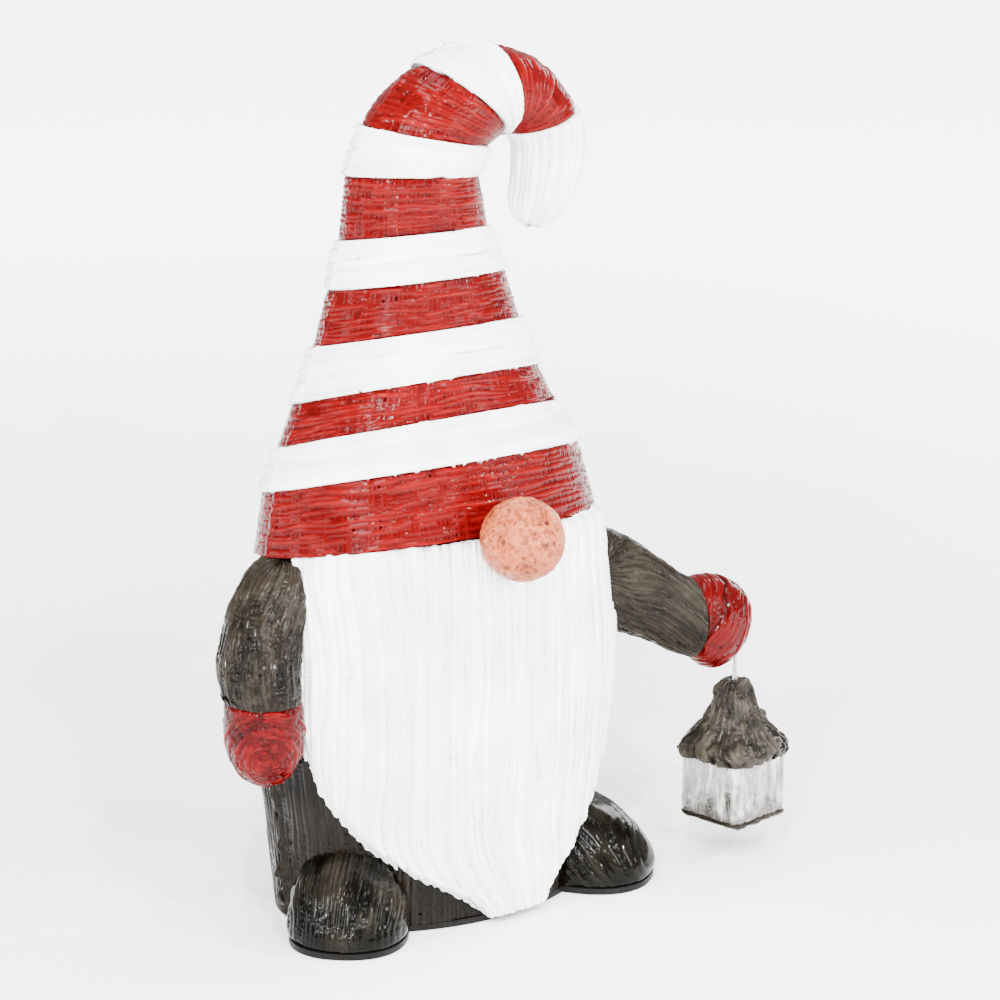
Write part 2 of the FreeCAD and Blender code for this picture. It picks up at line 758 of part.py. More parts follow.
def make_lantern(axis_x, axis_y, upper_pivot):
    """The lantern's pieces, hanging on the lower pivot."""
    pivot_z = upper_pivot - lantern_swing_length
    top = pivot_z + roof_top_above_pivot
    eave = top - roof_height
    floor = top - lantern_height

    def at(z):
        return (axis_x, axis_y, z)

    def roof_wire(z, half):
        return square_wire(at(z), half, half * roof_rounding)

    profile = [(eave + share * roof_height, half) for share, half in roof_profile]
    roof = loft([roof_wire(z, half) for z, half in profile])
    seat_top = eave + lantern_seat
    crown = top - roof_crown
    inner = [(z, half - lantern_wall - 1.0) for z, half in profile if seat_top < z < crown]
    inner = [(seat_top, lantern_half_width - lantern_wall)] + inner
    roof = roof.cut(loft([roof_wire(z, half) for z, half in inner]))
    seat_depth = lantern_seat + 1.0
    roof = roof.cut(prism(at(seat_top - seat_depth), lantern_half_width + seat_gap,
                          corner_radius + seat_gap, seat_depth))
    lamp = cylinder(lantern_lamp_radius, at(crown - lantern_lamp_length), lantern_lamp_length)
    roof = roof.cut(lamp)
    ferrule_top = pivot_z + 0.8
    ferrule_low = ferrule_top - ferrule_length
    roof = roof.cut(cylinder(ferrule_radius + ball_gap, at(ferrule_low), ferrule_length))
    roof = roof.cut(cylinder(recess_radius, at(ferrule_top - 3.5), LARGE))

    ferrule = cylinder(ferrule_radius, at(ferrule_low), ferrule_length)
    ferrule = ferrule.cut(Part.makeSphere(lead_ball_radius + ball_gap, V(*at(pivot_z))))
    ferrule = ferrule.cut(cylinder(lead_ball_radius + 4 * ball_gap, at(pivot_z), LARGE))

    lead = cylinder(lead_radius, at(pivot_z), lantern_swing_length)
    for z in (pivot_z, upper_pivot):
        lead = lead.fuse(Part.makeSphere(lead_ball_radius, V(*at(z))))

    wall_low = floor + lantern_floor
    walls = prism(at(wall_low), lantern_half_width, corner_radius, seat_top - wall_low)
    inside = lantern_half_width - lantern_wall
    walls = walls.cut(prism(at(wall_low - 1), inside, corner_radius - lantern_wall,
                            seat_top - wall_low + 2))
    bevel = 1.5
    lip = 0.8
    plate = prism(at(floor + bevel), lantern_half_width + lip, corner_radius + lip,
                  lantern_floor - bevel)
    plate = plate.fuse(loft([square_wire(at(floor), lantern_half_width - bevel, corner_radius),
                             square_wire(at(floor + bevel), lantern_half_width + lip,
                                         corner_radius + lip)])).removeSplitter()
    pieces = {
        "lantern_roof": largest(roof),
        "lantern_walls": largest(walls),
        "lantern_floor": plate,
        "lantern_lamp": lamp,
        "lead_ferrule": largest(ferrule),
        "lantern_lead": lead.removeSplitter(),
    }
    for piece in pieces.values():
        piece.rotate(V(*at(0)), V(0, 0, 1), lantern_turn)
    return pieces


# ---------------------------------------------------------------- assembly
def make_all():
    body_outer = body_loft(0.0)
    beard_outer = body_loft(beard_thickness)
    inside = body_loft(-shell_wall)
    pieces = make_courses()
    pieces["body_shell_front"], pieces["body_shell_back"] = make_body(body_outer)
    outlet = V(*cuff_left) + V(*lead_offset)
    feed = routed_lead("lantern_feed", feed_points(outlet), lead_radius)
    pieces["lantern_feed"] = feed
    beard = largest(make_beard(beard_outer, body_outer).cut(feed))
    pieces["beard"] = beard
    pieces["nose"] = make_nose(beard_outer, loft(course_sections(0, 0.0)))
    pieces["sleeve_right"], pieces["mitten_right"] = make_right_arm(body_outer, beard)
    arm = make_left_arm(body_outer, beard, outlet, feed)
    pieces["sleeve_left"], pieces["mitten_left"] = arm
    pieces["boot_right"] = make_boot(-1, body_outer, beard)
    pieces["boot_left"] = make_boot(1, body_outer, beard)

    screws = [make_screw(x, y) for x, y in screw_spots()]
    pieces["base_plate"] = make_base_plate(screws)
    pieces["base_screws"] = Part.makeCompound(screws)
    pieces["anchor_blocks"] = make_anchors(inside, screws)
    springs, plates = make_contacts()
    boxed = {
        "battery_box": make_box(),
        "battery_door": make_door(),
        "door_hinge_pin": hinge_pin(),
        "door_seal": make_seal(),
        "battery_cells": make_cells(),
        "contact_springs": springs,
        "contact_plates": plates,
        "timer_board": make_board(),
        "switch_slider": make_slider(),
    }
    pieces.update({name: placed(piece) for name, piece in boxed.items()})

    points = lead_points()
    tube = routed_lead("lamp_lead", points, lead_radius)
    pieces["lamp_lead"] = tube
    lamps = make_lamps(points, tube)
    pieces["string_lamps"] = lamps
    pieces["lead_clips"] = make_clips(points, tube, lamps, inside)
    pieces["lead_splice"] = make_splice(points, tube, feed)
    pieces["lead_bush"] = make_bush(outlet)
    pieces.update(make_lantern(outlet.x, outlet.y, outlet.z + bush_mouth))
    return pieces


def report(pieces):
    box = FreeCAD.BoundBox()
    for name in sorted(pieces):
        shape = pieces[name]
        box.add(shape.BoundBox)
        print(f"{name:20s} solids {len(shape.Solids)} volume {shape.Volume:10.1f} valid {shape.isValid()}")
    print("size", [round(v, 1) for v in (box.XLength, box.YLength, box.ZLength)],
          "low", [round(v, 2) for v in (box.XMin, box.YMin, box.ZMin)])


os.makedirs("parts", exist_ok=True)
all_pieces = make_all()
for piece_name, piece_shape in all_pieces.items():
    piece_shape.exportStep(f"parts/{piece_name}.step")
report(all_pieces)
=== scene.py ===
import json
import math

import bpy
import numpy as np
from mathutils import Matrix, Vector
from mathutils.bvhtree import BVHTree

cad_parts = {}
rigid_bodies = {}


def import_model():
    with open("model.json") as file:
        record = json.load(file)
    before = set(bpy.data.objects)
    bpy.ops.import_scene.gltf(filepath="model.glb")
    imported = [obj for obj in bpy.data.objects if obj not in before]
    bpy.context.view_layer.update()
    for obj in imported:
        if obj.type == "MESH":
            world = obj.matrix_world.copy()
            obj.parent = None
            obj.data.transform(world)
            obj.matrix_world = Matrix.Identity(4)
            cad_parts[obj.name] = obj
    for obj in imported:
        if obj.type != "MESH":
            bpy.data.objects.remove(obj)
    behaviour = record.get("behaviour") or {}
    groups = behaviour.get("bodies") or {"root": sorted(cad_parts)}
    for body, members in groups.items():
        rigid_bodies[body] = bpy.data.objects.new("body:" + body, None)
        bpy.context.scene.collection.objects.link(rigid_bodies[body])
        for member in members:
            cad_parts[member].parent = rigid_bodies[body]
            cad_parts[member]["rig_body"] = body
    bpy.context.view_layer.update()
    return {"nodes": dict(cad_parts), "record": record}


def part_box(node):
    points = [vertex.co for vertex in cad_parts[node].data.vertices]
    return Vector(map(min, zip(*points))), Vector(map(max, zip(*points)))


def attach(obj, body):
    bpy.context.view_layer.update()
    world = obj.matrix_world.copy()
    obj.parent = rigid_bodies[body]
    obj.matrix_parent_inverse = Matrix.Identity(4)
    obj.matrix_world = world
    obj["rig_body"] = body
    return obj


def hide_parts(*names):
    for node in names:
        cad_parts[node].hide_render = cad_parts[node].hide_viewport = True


# Looks for the garden gnome light figure: shells laid up by hand from extruded acrylic strand, then
# painted. Surfaces are worked in millimetres on the frame's own shapes, and meshes are made in metres.

MM = 0.001
SEED = 11

# ---------------------------------------------------------------- strand sizes, mm
HAT_PITCH = 2.8
WHITE_PITCH = 4.8
BEARD_PITCH = 4.4
COAT_PITCH = 3.6
BOOT_PITCH = 3.2
MITTEN_PITCH = 2.9
ROOF_PITCH = 3.4
WALL_PITCH = 2.6
WAFFLE_PITCH = 3.1                    # ripples across the white strands
SCALLOP = 8.6                         # lobes down the beard's edge
LOBE = 9.0                            # lobes round the lantern roof's eaves
BEARD_HEM = ((0.6, 0.9), (1.8, 1.6), (3.6, 1.6), (9.5, 0.6))   # inward and onward of its side edges
LEAD_STRAND = 0.0018                  # m, thickness of each strand of the clear lead

# ---------------------------------------------------------------- camera
CAMERA_TARGET = (0.0367, -0.0309, 0.2710)
CAMERA_AZIMUTH = -35.14
CAMERA_ELEVATION = 15.45
CAMERA_DISTANCE = 2.50
CAMERA_LENS = 135.95

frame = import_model()
NODES = frame["nodes"]
BODY_OF = {name: node["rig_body"] for name, node in NODES.items()}
_, Y, Z = np.eye(3)


# ---------------------------------------------------------------- noise
def hashed(*keys):
    """A number from 0 to 1 for each set of whole-number keys."""
    total = 0.0
    for key, weight in zip(keys, (12.9898, 78.233, 37.719, 53.117)):
        total = total + np.asarray(key, float) * weight
    value = np.sin(total) * 43758.5453
    return value - np.floor(value)


def eased(x):
    return x * x * (3 - 2 * x)


def wave(which, along, length, seed):
    """A smooth random curve from -1 to 1 for each whole number in which."""
    place = along / length
    cell = np.floor(place)
    share = eased(place - cell)
    low, high = hashed(which, cell, seed), hashed(which, cell + 1, seed)
    return (low + (high - low) * share) * 2 - 1


def patches(a, b, length, seed):
    """Smooth random patches from -1 to 1 on a surface."""
    cell_b = np.floor(b / length)
    share = eased(b / length - cell_b)
    low, high = wave(cell_b, a, length, seed), wave(cell_b + 1, a, length, seed)
    return low + (high - low) * share


def cloud(points, length, seed):
    """Smooth random patches from -1 to 1 in space."""
    layer = np.floor(points[..., 2] / length)
    share = eased(points[..., 2] / length - layer)
    low = patches(points[..., 0] + 31.7 * layer * length, points[..., 1], length, seed)
    above = layer + 1
    high = patches(points[..., 0] + 31.7 * above * length, points[..., 1], length, seed)
    return low + (high - low) * share


# ---------------------------------------------------------------- strands
def strands(along, across, pitch, seed, fullness=0.56, wander=0.3, length=26.0, lift=0.25,
            broken=0.0, beads=0.0):
    """Height and shade of round strands lying side by side: each one wanders, swells and lifts."""
    row = np.floor(across / pitch)
    top = np.full(across.shape, -2.0 * pitch)
    shade = np.zeros(across.shape)
    for step in (-1, 0, 1):
        each = row + step
        run = along + 53.0 * hashed(each, seed) * length
        middle = (each + 0.5 + wander * wave(each, run, length, seed + 1)) * pitch
        radius = pitch * fullness * (1 + 0.16 * wave(each, run, length * 0.6, seed + 2))
        if broken:
            thin = np.clip(wave(each, run, length * 0.45, seed + 4) * 2.4 - 1.5 + broken, 0, 1)
            radius = radius * (1 - 0.45 * thin)
        off = np.clip(1 - ((across - middle) / radius) ** 2, 0, 1)
        height = np.where(off > 0, np.sqrt(off) * radius * 0.8, -2.0 * pitch)
        height = height + lift * wave(each, run, length * 0.9, seed + 3)
        if beads:
            height = height + beads * wave(each, run, 2.7, seed + 6)
        over = height > top
        top = np.where(over, height, top)
        shade = np.where(over, hashed(each, seed + 5), shade)
    return top, shade


def laid(along, across, pitch, seed, depth=0.55, under_pitch=None, **how):
    """A top layer of strands over a crossing layer that shows where the top ones part."""
    top, shade = strands(along, across, pitch, seed, **how)
    below, _ = strands(across, along, under_pitch or pitch, seed + 20, wander=0.15, lift=0.1)
    below = below - depth
    # The crossing strands that show between the top ones take a lower tint, which darkens them:
    # painted shade under the top layer.
    return np.maximum(top, below), np.where(top > below, shade, 0.3 * shade)


# ---------------------------------------------------------------- reading the frame
def arrays(*names):
    """Corners in millimetres and triangles of some nodes together."""
    corners, triangles, count = [], [], 0
    for name in names:
        mesh = NODES[name].data
        co = np.empty(len(mesh.vertices) * 3)
        mesh.vertices.foreach_get("co", co)
        mesh.calc_loop_triangles()
        tri = np.empty(len(mesh.loop_triangles) * 3, np.int32)
        mesh.loop_triangles.foreach_get("vertices", tri)
        corners.append(co.reshape(-1, 3) / MM)
        triangles.append(tri.reshape(-1, 3) + count)
        count += len(corners[-1])
    return np.concatenate(corners), np.concatenate(triangles)


def tree_of(*names):
    corners, triangles = arrays(*names)
    return BVHTree.FromPolygons(corners.tolist(), triangles.tolist(), epsilon=0.01)


def flat_faces(name):
    """Flat faces of a node, largest first: area, centre and outward normal."""
    corners, tri = arrays(name)
    a, b, c = corners[tri[:, 0]], corners[tri[:, 1]], corners[tri[:, 2]]
    cross = np.cross(b - a, c - a)
    twice = np.linalg.norm(cross, axis=1)
    normal = cross / np.maximum(twice, 1e-9)[:, None]
    offset = (normal * a).sum(1)
    keys = np.column_stack([np.round(normal, 2) + 0.0, np.round(offset)])
    _, group = np.unique(keys, axis=0, return_inverse=True)
    group = group.ravel()
    area = np.bincount(group, twice / 2)
    found = []
    for g in np.argsort(-area)[:4]:
        mine = group == g
        weight = twice[mine][:, None]
        middle = (((a + b + c) / 3)[mine] * weight).sum(0) / weight.sum()
        outward = (normal[mine] * weight).sum(0)
        found.append((area[g], middle, outward / np.linalg.norm(outward)))
    return found


def outer_hit(tree, centre, direction, reach=260.0):
    """Where the surface is met from outside on the way to the centre, or none."""
    start = centre + direction * reach
    hit = tree.ray_cast(Vector(start), Vector(-direction), reach)[0]
    return None if hit is None else np.array(hit)


def mended(radii):
    """Fills the gaps in a grid of radii from the values round them."""
    known = ~np.isnan(radii)
    filled = np.where(known, radii, np.nanmean(radii))
    for _ in range(400):
        up, down = np.roll(filled, 1, 0), np.roll(filled, -1, 0)
        up[0], down[-1] = filled[0], filled[-1]
        round_it = (np.roll(filled, 1, 1) + np.roll(filled, -1, 1) + up + down) / 4
        filled = np.where(known, radii, round_it)
    return filled


def full_turn(count):
    return 2 * math.pi * np.arange(count) / count


def circle(side, other, count):
    turns = full_turn(count)
    return side * np.cos(turns)[:, None] + other * np.sin(turns)[:, None]


def even_rows(values):
    """Average every row but the end ones with its neighbours, in place."""
    values[1:-1] = (values[:-2] + 2 * values[1:-1] + values[2:]) / 4


def read_surface(tree, centres, directions, smooth=1):
    """A grid of points on the outside: one centre for each row, one direction for each point."""
    radii = np.full(directions.shape[:2], np.nan)
    for i, centre in enumerate(centres):
        for j in range(directions.shape[1]):
            hit = outer_hit(tree, centre, directions[i, j])
            if hit is not None:
                radii[i, j] = np.linalg.norm(hit - centre)
    around = np.stack([np.roll(radii, k, 1) for k in (-3, -2, -1, 1, 2, 3)])
    usual = np.nanmedian(np.where(np.isnan(around).all(0), 0.0, around), axis=0)
    radii[np.abs(radii - usual) > 1.5 + 0.04 * usual] = np.nan
    if np.isnan(radii).any():
        radii = mended(radii)
    for _ in range(smooth):
        radii = (np.roll(radii, 1, 1) + 2 * radii + np.roll(radii, -1, 1)) / 4
        inner = (radii[:-2] + 2 * radii[1:-1] + radii[2:]) / 4
        radii = np.concatenate([radii[:1], inner, radii[-1:]])
    return np.asarray(centres)[:, None] + directions * radii[..., None]


# ---------------------------------------------------------------- grids
def cubic(grid, places):
    """Smooth values between a grid's rows; places holds a row number for each column."""
    last = len(grid) - 1
    i = np.clip(np.floor(places).astype(int), 0, last - 1)
    f = (places - i)[..., None]
    j = np.broadcast_to(np.arange(grid.shape[1]), i.shape)
    p0, p1 = grid[np.maximum(i - 1, 0), j], grid[i, j]
    p2, p3 = grid[i + 1, j], grid[np.minimum(i + 2, last), j]
    return 0.5 * (2 * p1 + (p2 - p0) * f + (2 * p0 - 5 * p1 + 4 * p2 - p3) * f ** 2
                  + (3 * p1 - p0 - 3 * p2 + p3) * f ** 3)


def across_columns(grid, count, wrap):
    """The same surface with count columns."""
    turned = grid.transpose(1, 0, 2)
    if wrap:
        turned = np.concatenate([turned[-1:], turned, turned[:2]])
        places = 1 + np.arange(count) * (len(turned) - 3) / count
    else:
        places = np.linspace(0, len(turned) - 1, count)
    places = np.repeat(places[:, None], turned.shape[1], 1)
    return cubic(turned, places).transpose(1, 0, 2)


def length_down(grid):
    return np.linalg.norm(np.diff(grid, axis=0), axis=2).sum(0)


def length_round(grid, wrap):
    ahead = np.roll(grid, -1, 1) - grid if wrap else np.diff(grid, axis=1)
    return np.linalg.norm(ahead, axis=2).sum(1)


def facing(grid, wrap, inside):
    """Unit normals of a grid that point away from its inside points, one for each row."""
    if wrap:
        round_it = np.roll(grid, -1, 1) - np.roll(grid, 1, 1)
    else:
        round_it = np.gradient(grid, axis=1)
    normal = np.cross(round_it, np.gradient(grid, axis=0))
    normal /= np.maximum(np.linalg.norm(normal, axis=2, keepdims=True), 1e-9)
    outward = (normal * (grid - inside)).sum() > 0
    return normal if outward else -normal


def fine(grid, step_down, step_round, wrap, low=0.0, high=0.0):
    """A dense copy of a grid, with each vertex's place along both ways in millimetres. low and high
    move its first and last row past the ends, in millimetres, one value or one for each column."""
    count = int(np.mean(length_round(grid, wrap)) / step_round)
    dense = across_columns(grid, count, wrap)
    tall = np.mean(length_down(dense))
    rows = int(tall / step_down) + 1
    share = np.linspace(0, 1, rows)[:, None]
    start = -low / tall * np.ones(count)
    end = 1 + high / tall * np.ones(count)
    part = start + (end - start) * share
    points = cubic(dense, part * (len(grid) - 1))
    middle = points[rows // 2]
    ahead = np.roll(middle, -1, 0) - middle if wrap else np.diff(middle, axis=0, append=middle[-1:])
    run = np.concatenate([[0], np.cumsum(np.linalg.norm(ahead, axis=1))[:-1]])
    return points, part * tall, np.broadcast_to(run, part.shape)


# ---------------------------------------------------------------- meshes
def make_mesh(name, points, faces, **values):
    mesh = bpy.data.meshes.new(name)
    mesh.vertices.add(len(points))
    mesh.vertices.foreach_set("co", (points * MM).astype(np.float32).ravel())
    faces = np.asarray(faces, np.int32)
    mesh.loops.add(faces.size)
    mesh.loops.foreach_set("vertex_index", faces.ravel())
    mesh.polygons.add(len(faces))
    mesh.polygons.foreach_set("loop_start", np.arange(0, faces.size, faces.shape[1], dtype=np.int32))
    mesh.polygons.foreach_set("use_smooth", np.ones(len(faces), bool))
    mesh.update(calc_edges=True)
    for key, value in values.items():
        attribute = mesh.attributes.new(key, "FLOAT", "POINT")
        attribute.data.foreach_set("value", np.asarray(value, np.float32).ravel())
    thing = bpy.data.objects.new(name, mesh)
    bpy.context.scene.collection.objects.link(thing)
    return thing


def grid_faces(rows, cols, wrap, flip):
    index = np.arange(rows * cols).reshape(rows, cols)
    if wrap:
        index = np.concatenate([index, index[:, :1]], 1)
    a, b, c, d = index[:-1, :-1], index[:-1, 1:], index[1:, 1:], index[1:, :-1]
    corners = (a, d, c, b) if flip else (a, b, c, d)
    return np.stack(corners, -1).reshape(-1, 4)


def needs_flip(points, wrap, normal):
    ahead = np.roll(points, -1, 1) - points if wrap else np.gradient(points, axis=1)
    face = np.cross(ahead, np.gradient(points, axis=0))
    return (face * normal).sum() < 0


def grid_piece(name, points, wrap, inside, lips=((), ()), keep=None, **values):
    """A piece from a displaced grid. lips are rows of (inward, onward) steps past each end that turn
    its edge in towards the inside points."""
    normal = facing(points, wrap, inside)
    flip = needs_flip(points, wrap, normal)
    inside = np.broadcast_to(inside, points[:, :1].shape)

    def lip(edge, beyond, middle, steps):
        onward = edge - beyond
        onward = onward / np.maximum(np.linalg.norm(onward, axis=1, keepdims=True), 1e-9)
        inward = middle - edge
        room = np.maximum(np.linalg.norm(inward, axis=1, keepdims=True), 1e-9)
        return [edge + inward / room * np.minimum(deep, room) + onward * on for deep, on in steps]

    before = lip(points[0], points[2], inside[0], lips[0])[::-1]
    after = lip(points[-1], points[-3], inside[-1], lips[1])
    rows = [*before, *points, *after]
    for key in values:
        value = np.broadcast_to(values[key], points.shape[:2])
        values[key] = np.concatenate([np.repeat(value[:1], len(before), 0), value,
                                      np.repeat(value[-1:], len(after), 0)])
    whole = np.asarray(rows)
    faces = grid_faces(whole.shape[0], whole.shape[1], wrap, flip)
    if keep is not None:
        kept = np.ones(whole.shape[:2], bool)
        kept[len(before):len(before) + len(points)] = keep
        faces = faces[kept.ravel()[faces].any(1)]
    used, faces = np.unique(faces, return_inverse=True)
    values = {key: value.ravel()[used] for key, value in values.items()}
    return make_mesh(name, whole.reshape(-1, 3)[used], faces.reshape(-1, 4), **values)


def finish_piece(piece, slot, material, *nodes, body=None):
    piece.data.materials.append(material)
    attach(piece, body or BODY_OF[nodes[0]])
    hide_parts(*nodes)
    return piece


def raised(height, low, high):
    return np.clip((height - low) / (high - low), 0, 1)


# ---------------------------------------------------------------- materials
class Shader:
    """A material whose nodes are added by name."""

    def __init__(self, name):
        self.material = bpy.data.materials.new(name)
        self.material.use_nodes = True
        self.tree = self.material.node_tree
        self.surface = self.tree.nodes["Principled BSDF"]
        self.place = self.add("ShaderNodeTexCoord").outputs["Object"]

    def add(self, kind, **settings):
        node = self.tree.nodes.new(kind)
        for key, value in settings.items():
            setattr(node, key, value)
        return node

    def join(self, source, target):
        self.tree.links.new(source, target)

    def attribute(self, name):
        return self.add("ShaderNodeAttribute", attribute_name=name).outputs["Fac"]

    def noise(self, scale, detail=3.0, rough=0.5, stretch=None):
        node = self.add("ShaderNodeTexNoise")
        node.inputs["Scale"].default_value = scale
        node.inputs["Detail"].default_value = detail
        node.inputs["Roughness"].default_value = rough
        place = self.place
        if stretch:
            mapping = self.add("ShaderNodeMapping")
            mapping.inputs["Scale"].default_value = stretch
            self.join(place, mapping.inputs["Vector"])
            place = mapping.outputs["Vector"]
        self.join(place, node.inputs["Vector"])
        return node.outputs["Fac"]

    def ramp(self, source, *stops):
        node = self.add("ShaderNodeValToRGB")
        marks = node.color_ramp.elements
        while len(marks) < len(stops):
            marks.new(0.5)
        for mark, (place, colour) in zip(marks, stops):
            mark.position = place
            mark.color = colour if len(colour) == 4 else (*colour, 1)
        self.join(source, node.inputs["Fac"])
        return node.outputs["Color"]

    def mix(self, share, a, b, kind="MIX"):
        node = self.add("ShaderNodeMix", data_type="RGBA", blend_type=kind)
        for socket, value in zip((node.inputs["Factor"], node.inputs[6], node.inputs[7]),
                                 (share, a, b)):
            if isinstance(value, bpy.types.NodeSocket):
                self.join(value, socket)
            else:
                socket.default_value = value
        return node.outputs[2]

    def fit(self, source, low, high, from_low=0.0, from_high=1.0):
        node = self.add("ShaderNodeMapRange")
        for key, value in (("From Min", from_low), ("From Max", from_high), ("To Min", low),
                           ("To Max", high)):
            node.inputs[key].default_value = value
        self.join(source, node.inputs["Value"])
        return node.outputs["Result"]

    def set(self, **values):
        names = {"colour": "Base Color", "rough": "Roughness", "coat": "Coat Weight",
                 "metal": "Metallic", "alpha": "Alpha", "emission": "Emission Strength",
                 "shine": "Specular IOR Level"}
        for key, value in values.items():
            socket = self.surface.inputs[names[key]]
            if isinstance(value, bpy.types.NodeSocket):
                self.join(value, socket)
            else:
                socket.default_value = value
        return self

    def bump(self, source, distance, strength=0.6):
        node = self.add("ShaderNodeBump")
        node.inputs["Strength"].default_value = strength
        node.inputs["Distance"].default_value = distance
        self.join(source, node.inputs["Height"])
        self.join(node.outputs["Normal"], self.surface.inputs["Normal"])
        return self


def acrylic(name, deep, main, crown_highlight, rough=(0.16, 0.34), grain=900.0, grain_depth=0.0002,
            thin=None, patch=26.0, shine=0.5):
    """Painted strand, patchy and glossy: dark in the grooves and lighter on the crowns, which is
    painted shade and a painted highlight.
    """
    s = Shader(name)
    rise = s.attribute("rise")
    # The rise ramp is painted light: its first colour is painted shade in the grooves and its last a
    # painted highlight on the strand crowns.
    body = s.ramp(rise, (0.0, deep), (0.45, main), (1.0, crown_highlight))
    blotch = s.ramp(s.noise(patch, 4.0, 0.6), (0.3, (0.72, 0.72, 0.72)), (0.7, (1.08, 1.08, 1.08)))
    body = s.mix(0.8, body, blotch, "MULTIPLY")
    strand = s.ramp(s.attribute("tint"), (0.0, (0.8, 0.8, 0.8)), (1.0, (1.1, 1.1, 1.1)))
    body = s.mix(0.7, body, strand, "MULTIPLY")
    if thin:
        body = s.mix(s.attribute("thin"), body, (*thin, 1))
    s.set(colour=body, shine=shine, rough=s.fit(s.noise(180.0), *rough, 0.3, 0.7))
    s.bump(s.noise(grain, 2.0, 0.6), grain_depth)
    return s.material


def moulded(name, colour, rough=0.5, metal=0.0, coat=0.0, grain=400.0, shine=0.3):
    """Plain moulded plastic, rubber or metal of the inner pieces."""
    s = Shader(name)
    lighter = tuple(min(1.0, c * 1.12 + 0.004) for c in colour)
    darker = tuple(c * 0.82 for c in colour)
    s.set(colour=s.ramp(s.noise(60.0, 4.0), (0.3, darker), (0.7, lighter)), metal=metal, coat=coat,
          shine=shine)
    s.set(rough=s.fit(s.noise(150.0), rough * 0.8, min(1.0, rough * 1.2), 0.3, 0.7))
    s.bump(s.noise(grain), 0.00008)
    return s.material


GLOSSY = {"rough": (0.06, 0.16), "grain": 420.0}
MILKY = {"rough": (0.32, 0.5), "patch": 14.0, "shine": 0.2}
# Each acrylic paint below lists three colours read by rise: painted shade for the grooves, the paint's
# own colour, and a painted highlight for the crowns.
CREAM = ((0.36, 0.37, 0.385), (0.90, 0.90, 0.90), (0.95, 0.95, 0.95))
RED = acrylic("paint_red", (0.009, 0.0004, 0.0005), (0.074, 0.0007, 0.0010), (0.135, 0.0018, 0.0022),
              thin=(0.24, 0.040, 0.043), shine=0.07, grain_depth=0.00012, **GLOSSY)
MITTEN_RED = acrylic("paint_mitten", (0.010, 0.0003, 0.0005), (0.044, 0.0003, 0.0006),
                     (0.105, 0.0012, 0.0018), rough=(0.05, 0.13), shine=0.08, grain=420.0,
                     grain_depth=0.00012)
WHITE = acrylic("paint_white", *CREAM, thin=(0.86, 0.62, 0.58), **MILKY)
BEARD_WHITE = acrylic("paint_beard", *CREAM, **MILKY)
# COAT's thin colour is a darker copy of the coat paint that the body halves take and the sleeves
# don't: painted shade.
COAT = acrylic("paint_coat", (0.0016, 0.0012, 0.0008), (0.0056, 0.0041, 0.0026),
               (0.023, 0.0180, 0.0122), thin=(0.0016, 0.0013, 0.0009), shine=0.08, patch=20.0,
               grain_depth=0.00015, **GLOSSY)
BOOT = acrylic("paint_boot", (0.0006, 0.0005, 0.0003), (0.0020, 0.0017, 0.0011),
               (0.0105, 0.009, 0.0062), shine=0.08, grain_depth=0.00015, **GLOSSY)
NOSE = acrylic("paint_nose", (0.07, 0.012, 0.003), (0.28, 0.055, 0.016), (0.48, 0.130, 0.055),
               shine=0.16, grain_depth=0.0003, **GLOSSY)
ROOF = acrylic("paint_roof", (0.0022, 0.0017, 0.0012), (0.0115, 0.0093, 0.0064),
               (0.045, 0.0375, 0.028), shine=0.12, grain_depth=0.00015, **GLOSSY)


def clear_wall():
    """Half-clear streaked strand of the lantern's box, smoky towards its foot."""
    s = Shader("clear_wall")
    streaks = s.noise(140.0, 5.0, 0.7, stretch=(1.0, 1.0, 0.22))
    body = s.ramp(streaks, (0.32, (0.07, 0.067, 0.060)), (0.48, (0.30, 0.295, 0.275)),
                  (0.68, (0.72, 0.72, 0.69)))
    smoke = s.attribute("thin")
    body = s.mix(smoke, body, (0.05, 0.045, 0.04, 1))
    s.set(colour=body, rough=0.16, coat=0.6, shine=0.7)
    cloudy = s.fit(streaks, 0.45, 0.92, 0.32, 0.62)
    solid = s.add("ShaderNodeMath", operation="MAXIMUM")
    s.join(cloudy, solid.inputs[0])
    s.join(smoke, solid.inputs[1])
    s.set(alpha=solid.outputs[0])
    s.bump(s.noise(500.0), 0.0003)
    return s.material


def clear_strand():
    s = Shader("clear_strand")
    cloudy = s.noise(300.0, 3.0)
    s.set(colour=s.ramp(cloudy, (0.3, (0.30, 0.30, 0.29)), (0.7, (0.66, 0.66, 0.65))))
    s.set(rough=0.12, coat=0.3, alpha=s.fit(cloudy, 0.6, 0.9, 0.3, 0.7))
    s.bump(s.noise(900.0), 0.0001)
    return s.material


# ---------------------------------------------------------------- hat
def hermite(a, b, slope_a, slope_b, share):
    s = share[:, None]
    return (a * (2 * s ** 3 - 3 * s ** 2 + 1) + slope_a * (s ** 3 - 2 * s ** 2 + s)
            + b * (3 * s ** 2 - 2 * s ** 3) + slope_b * (s ** 3 - s ** 2))


def section_path(name, rows):
    """Centres and directions of sections from a band's start face to its end face."""
    faces = flat_faces(name)
    _, start, back = faces[0]
    others = [f for f in faces[1:] if f[2] @ back < 0.2]
    _, end, onward = max(others, key=lambda f: f[0])
    share = np.linspace(0.012, 0.988, rows)
    far = np.linalg.norm(end - start)
    centres = hermite(start, end, -back * far, onward * far, share)
    axes = -back + (onward + back) * share[:, None]
    return centres, axes / np.linalg.norm(axes, axis=1, keepdims=True)


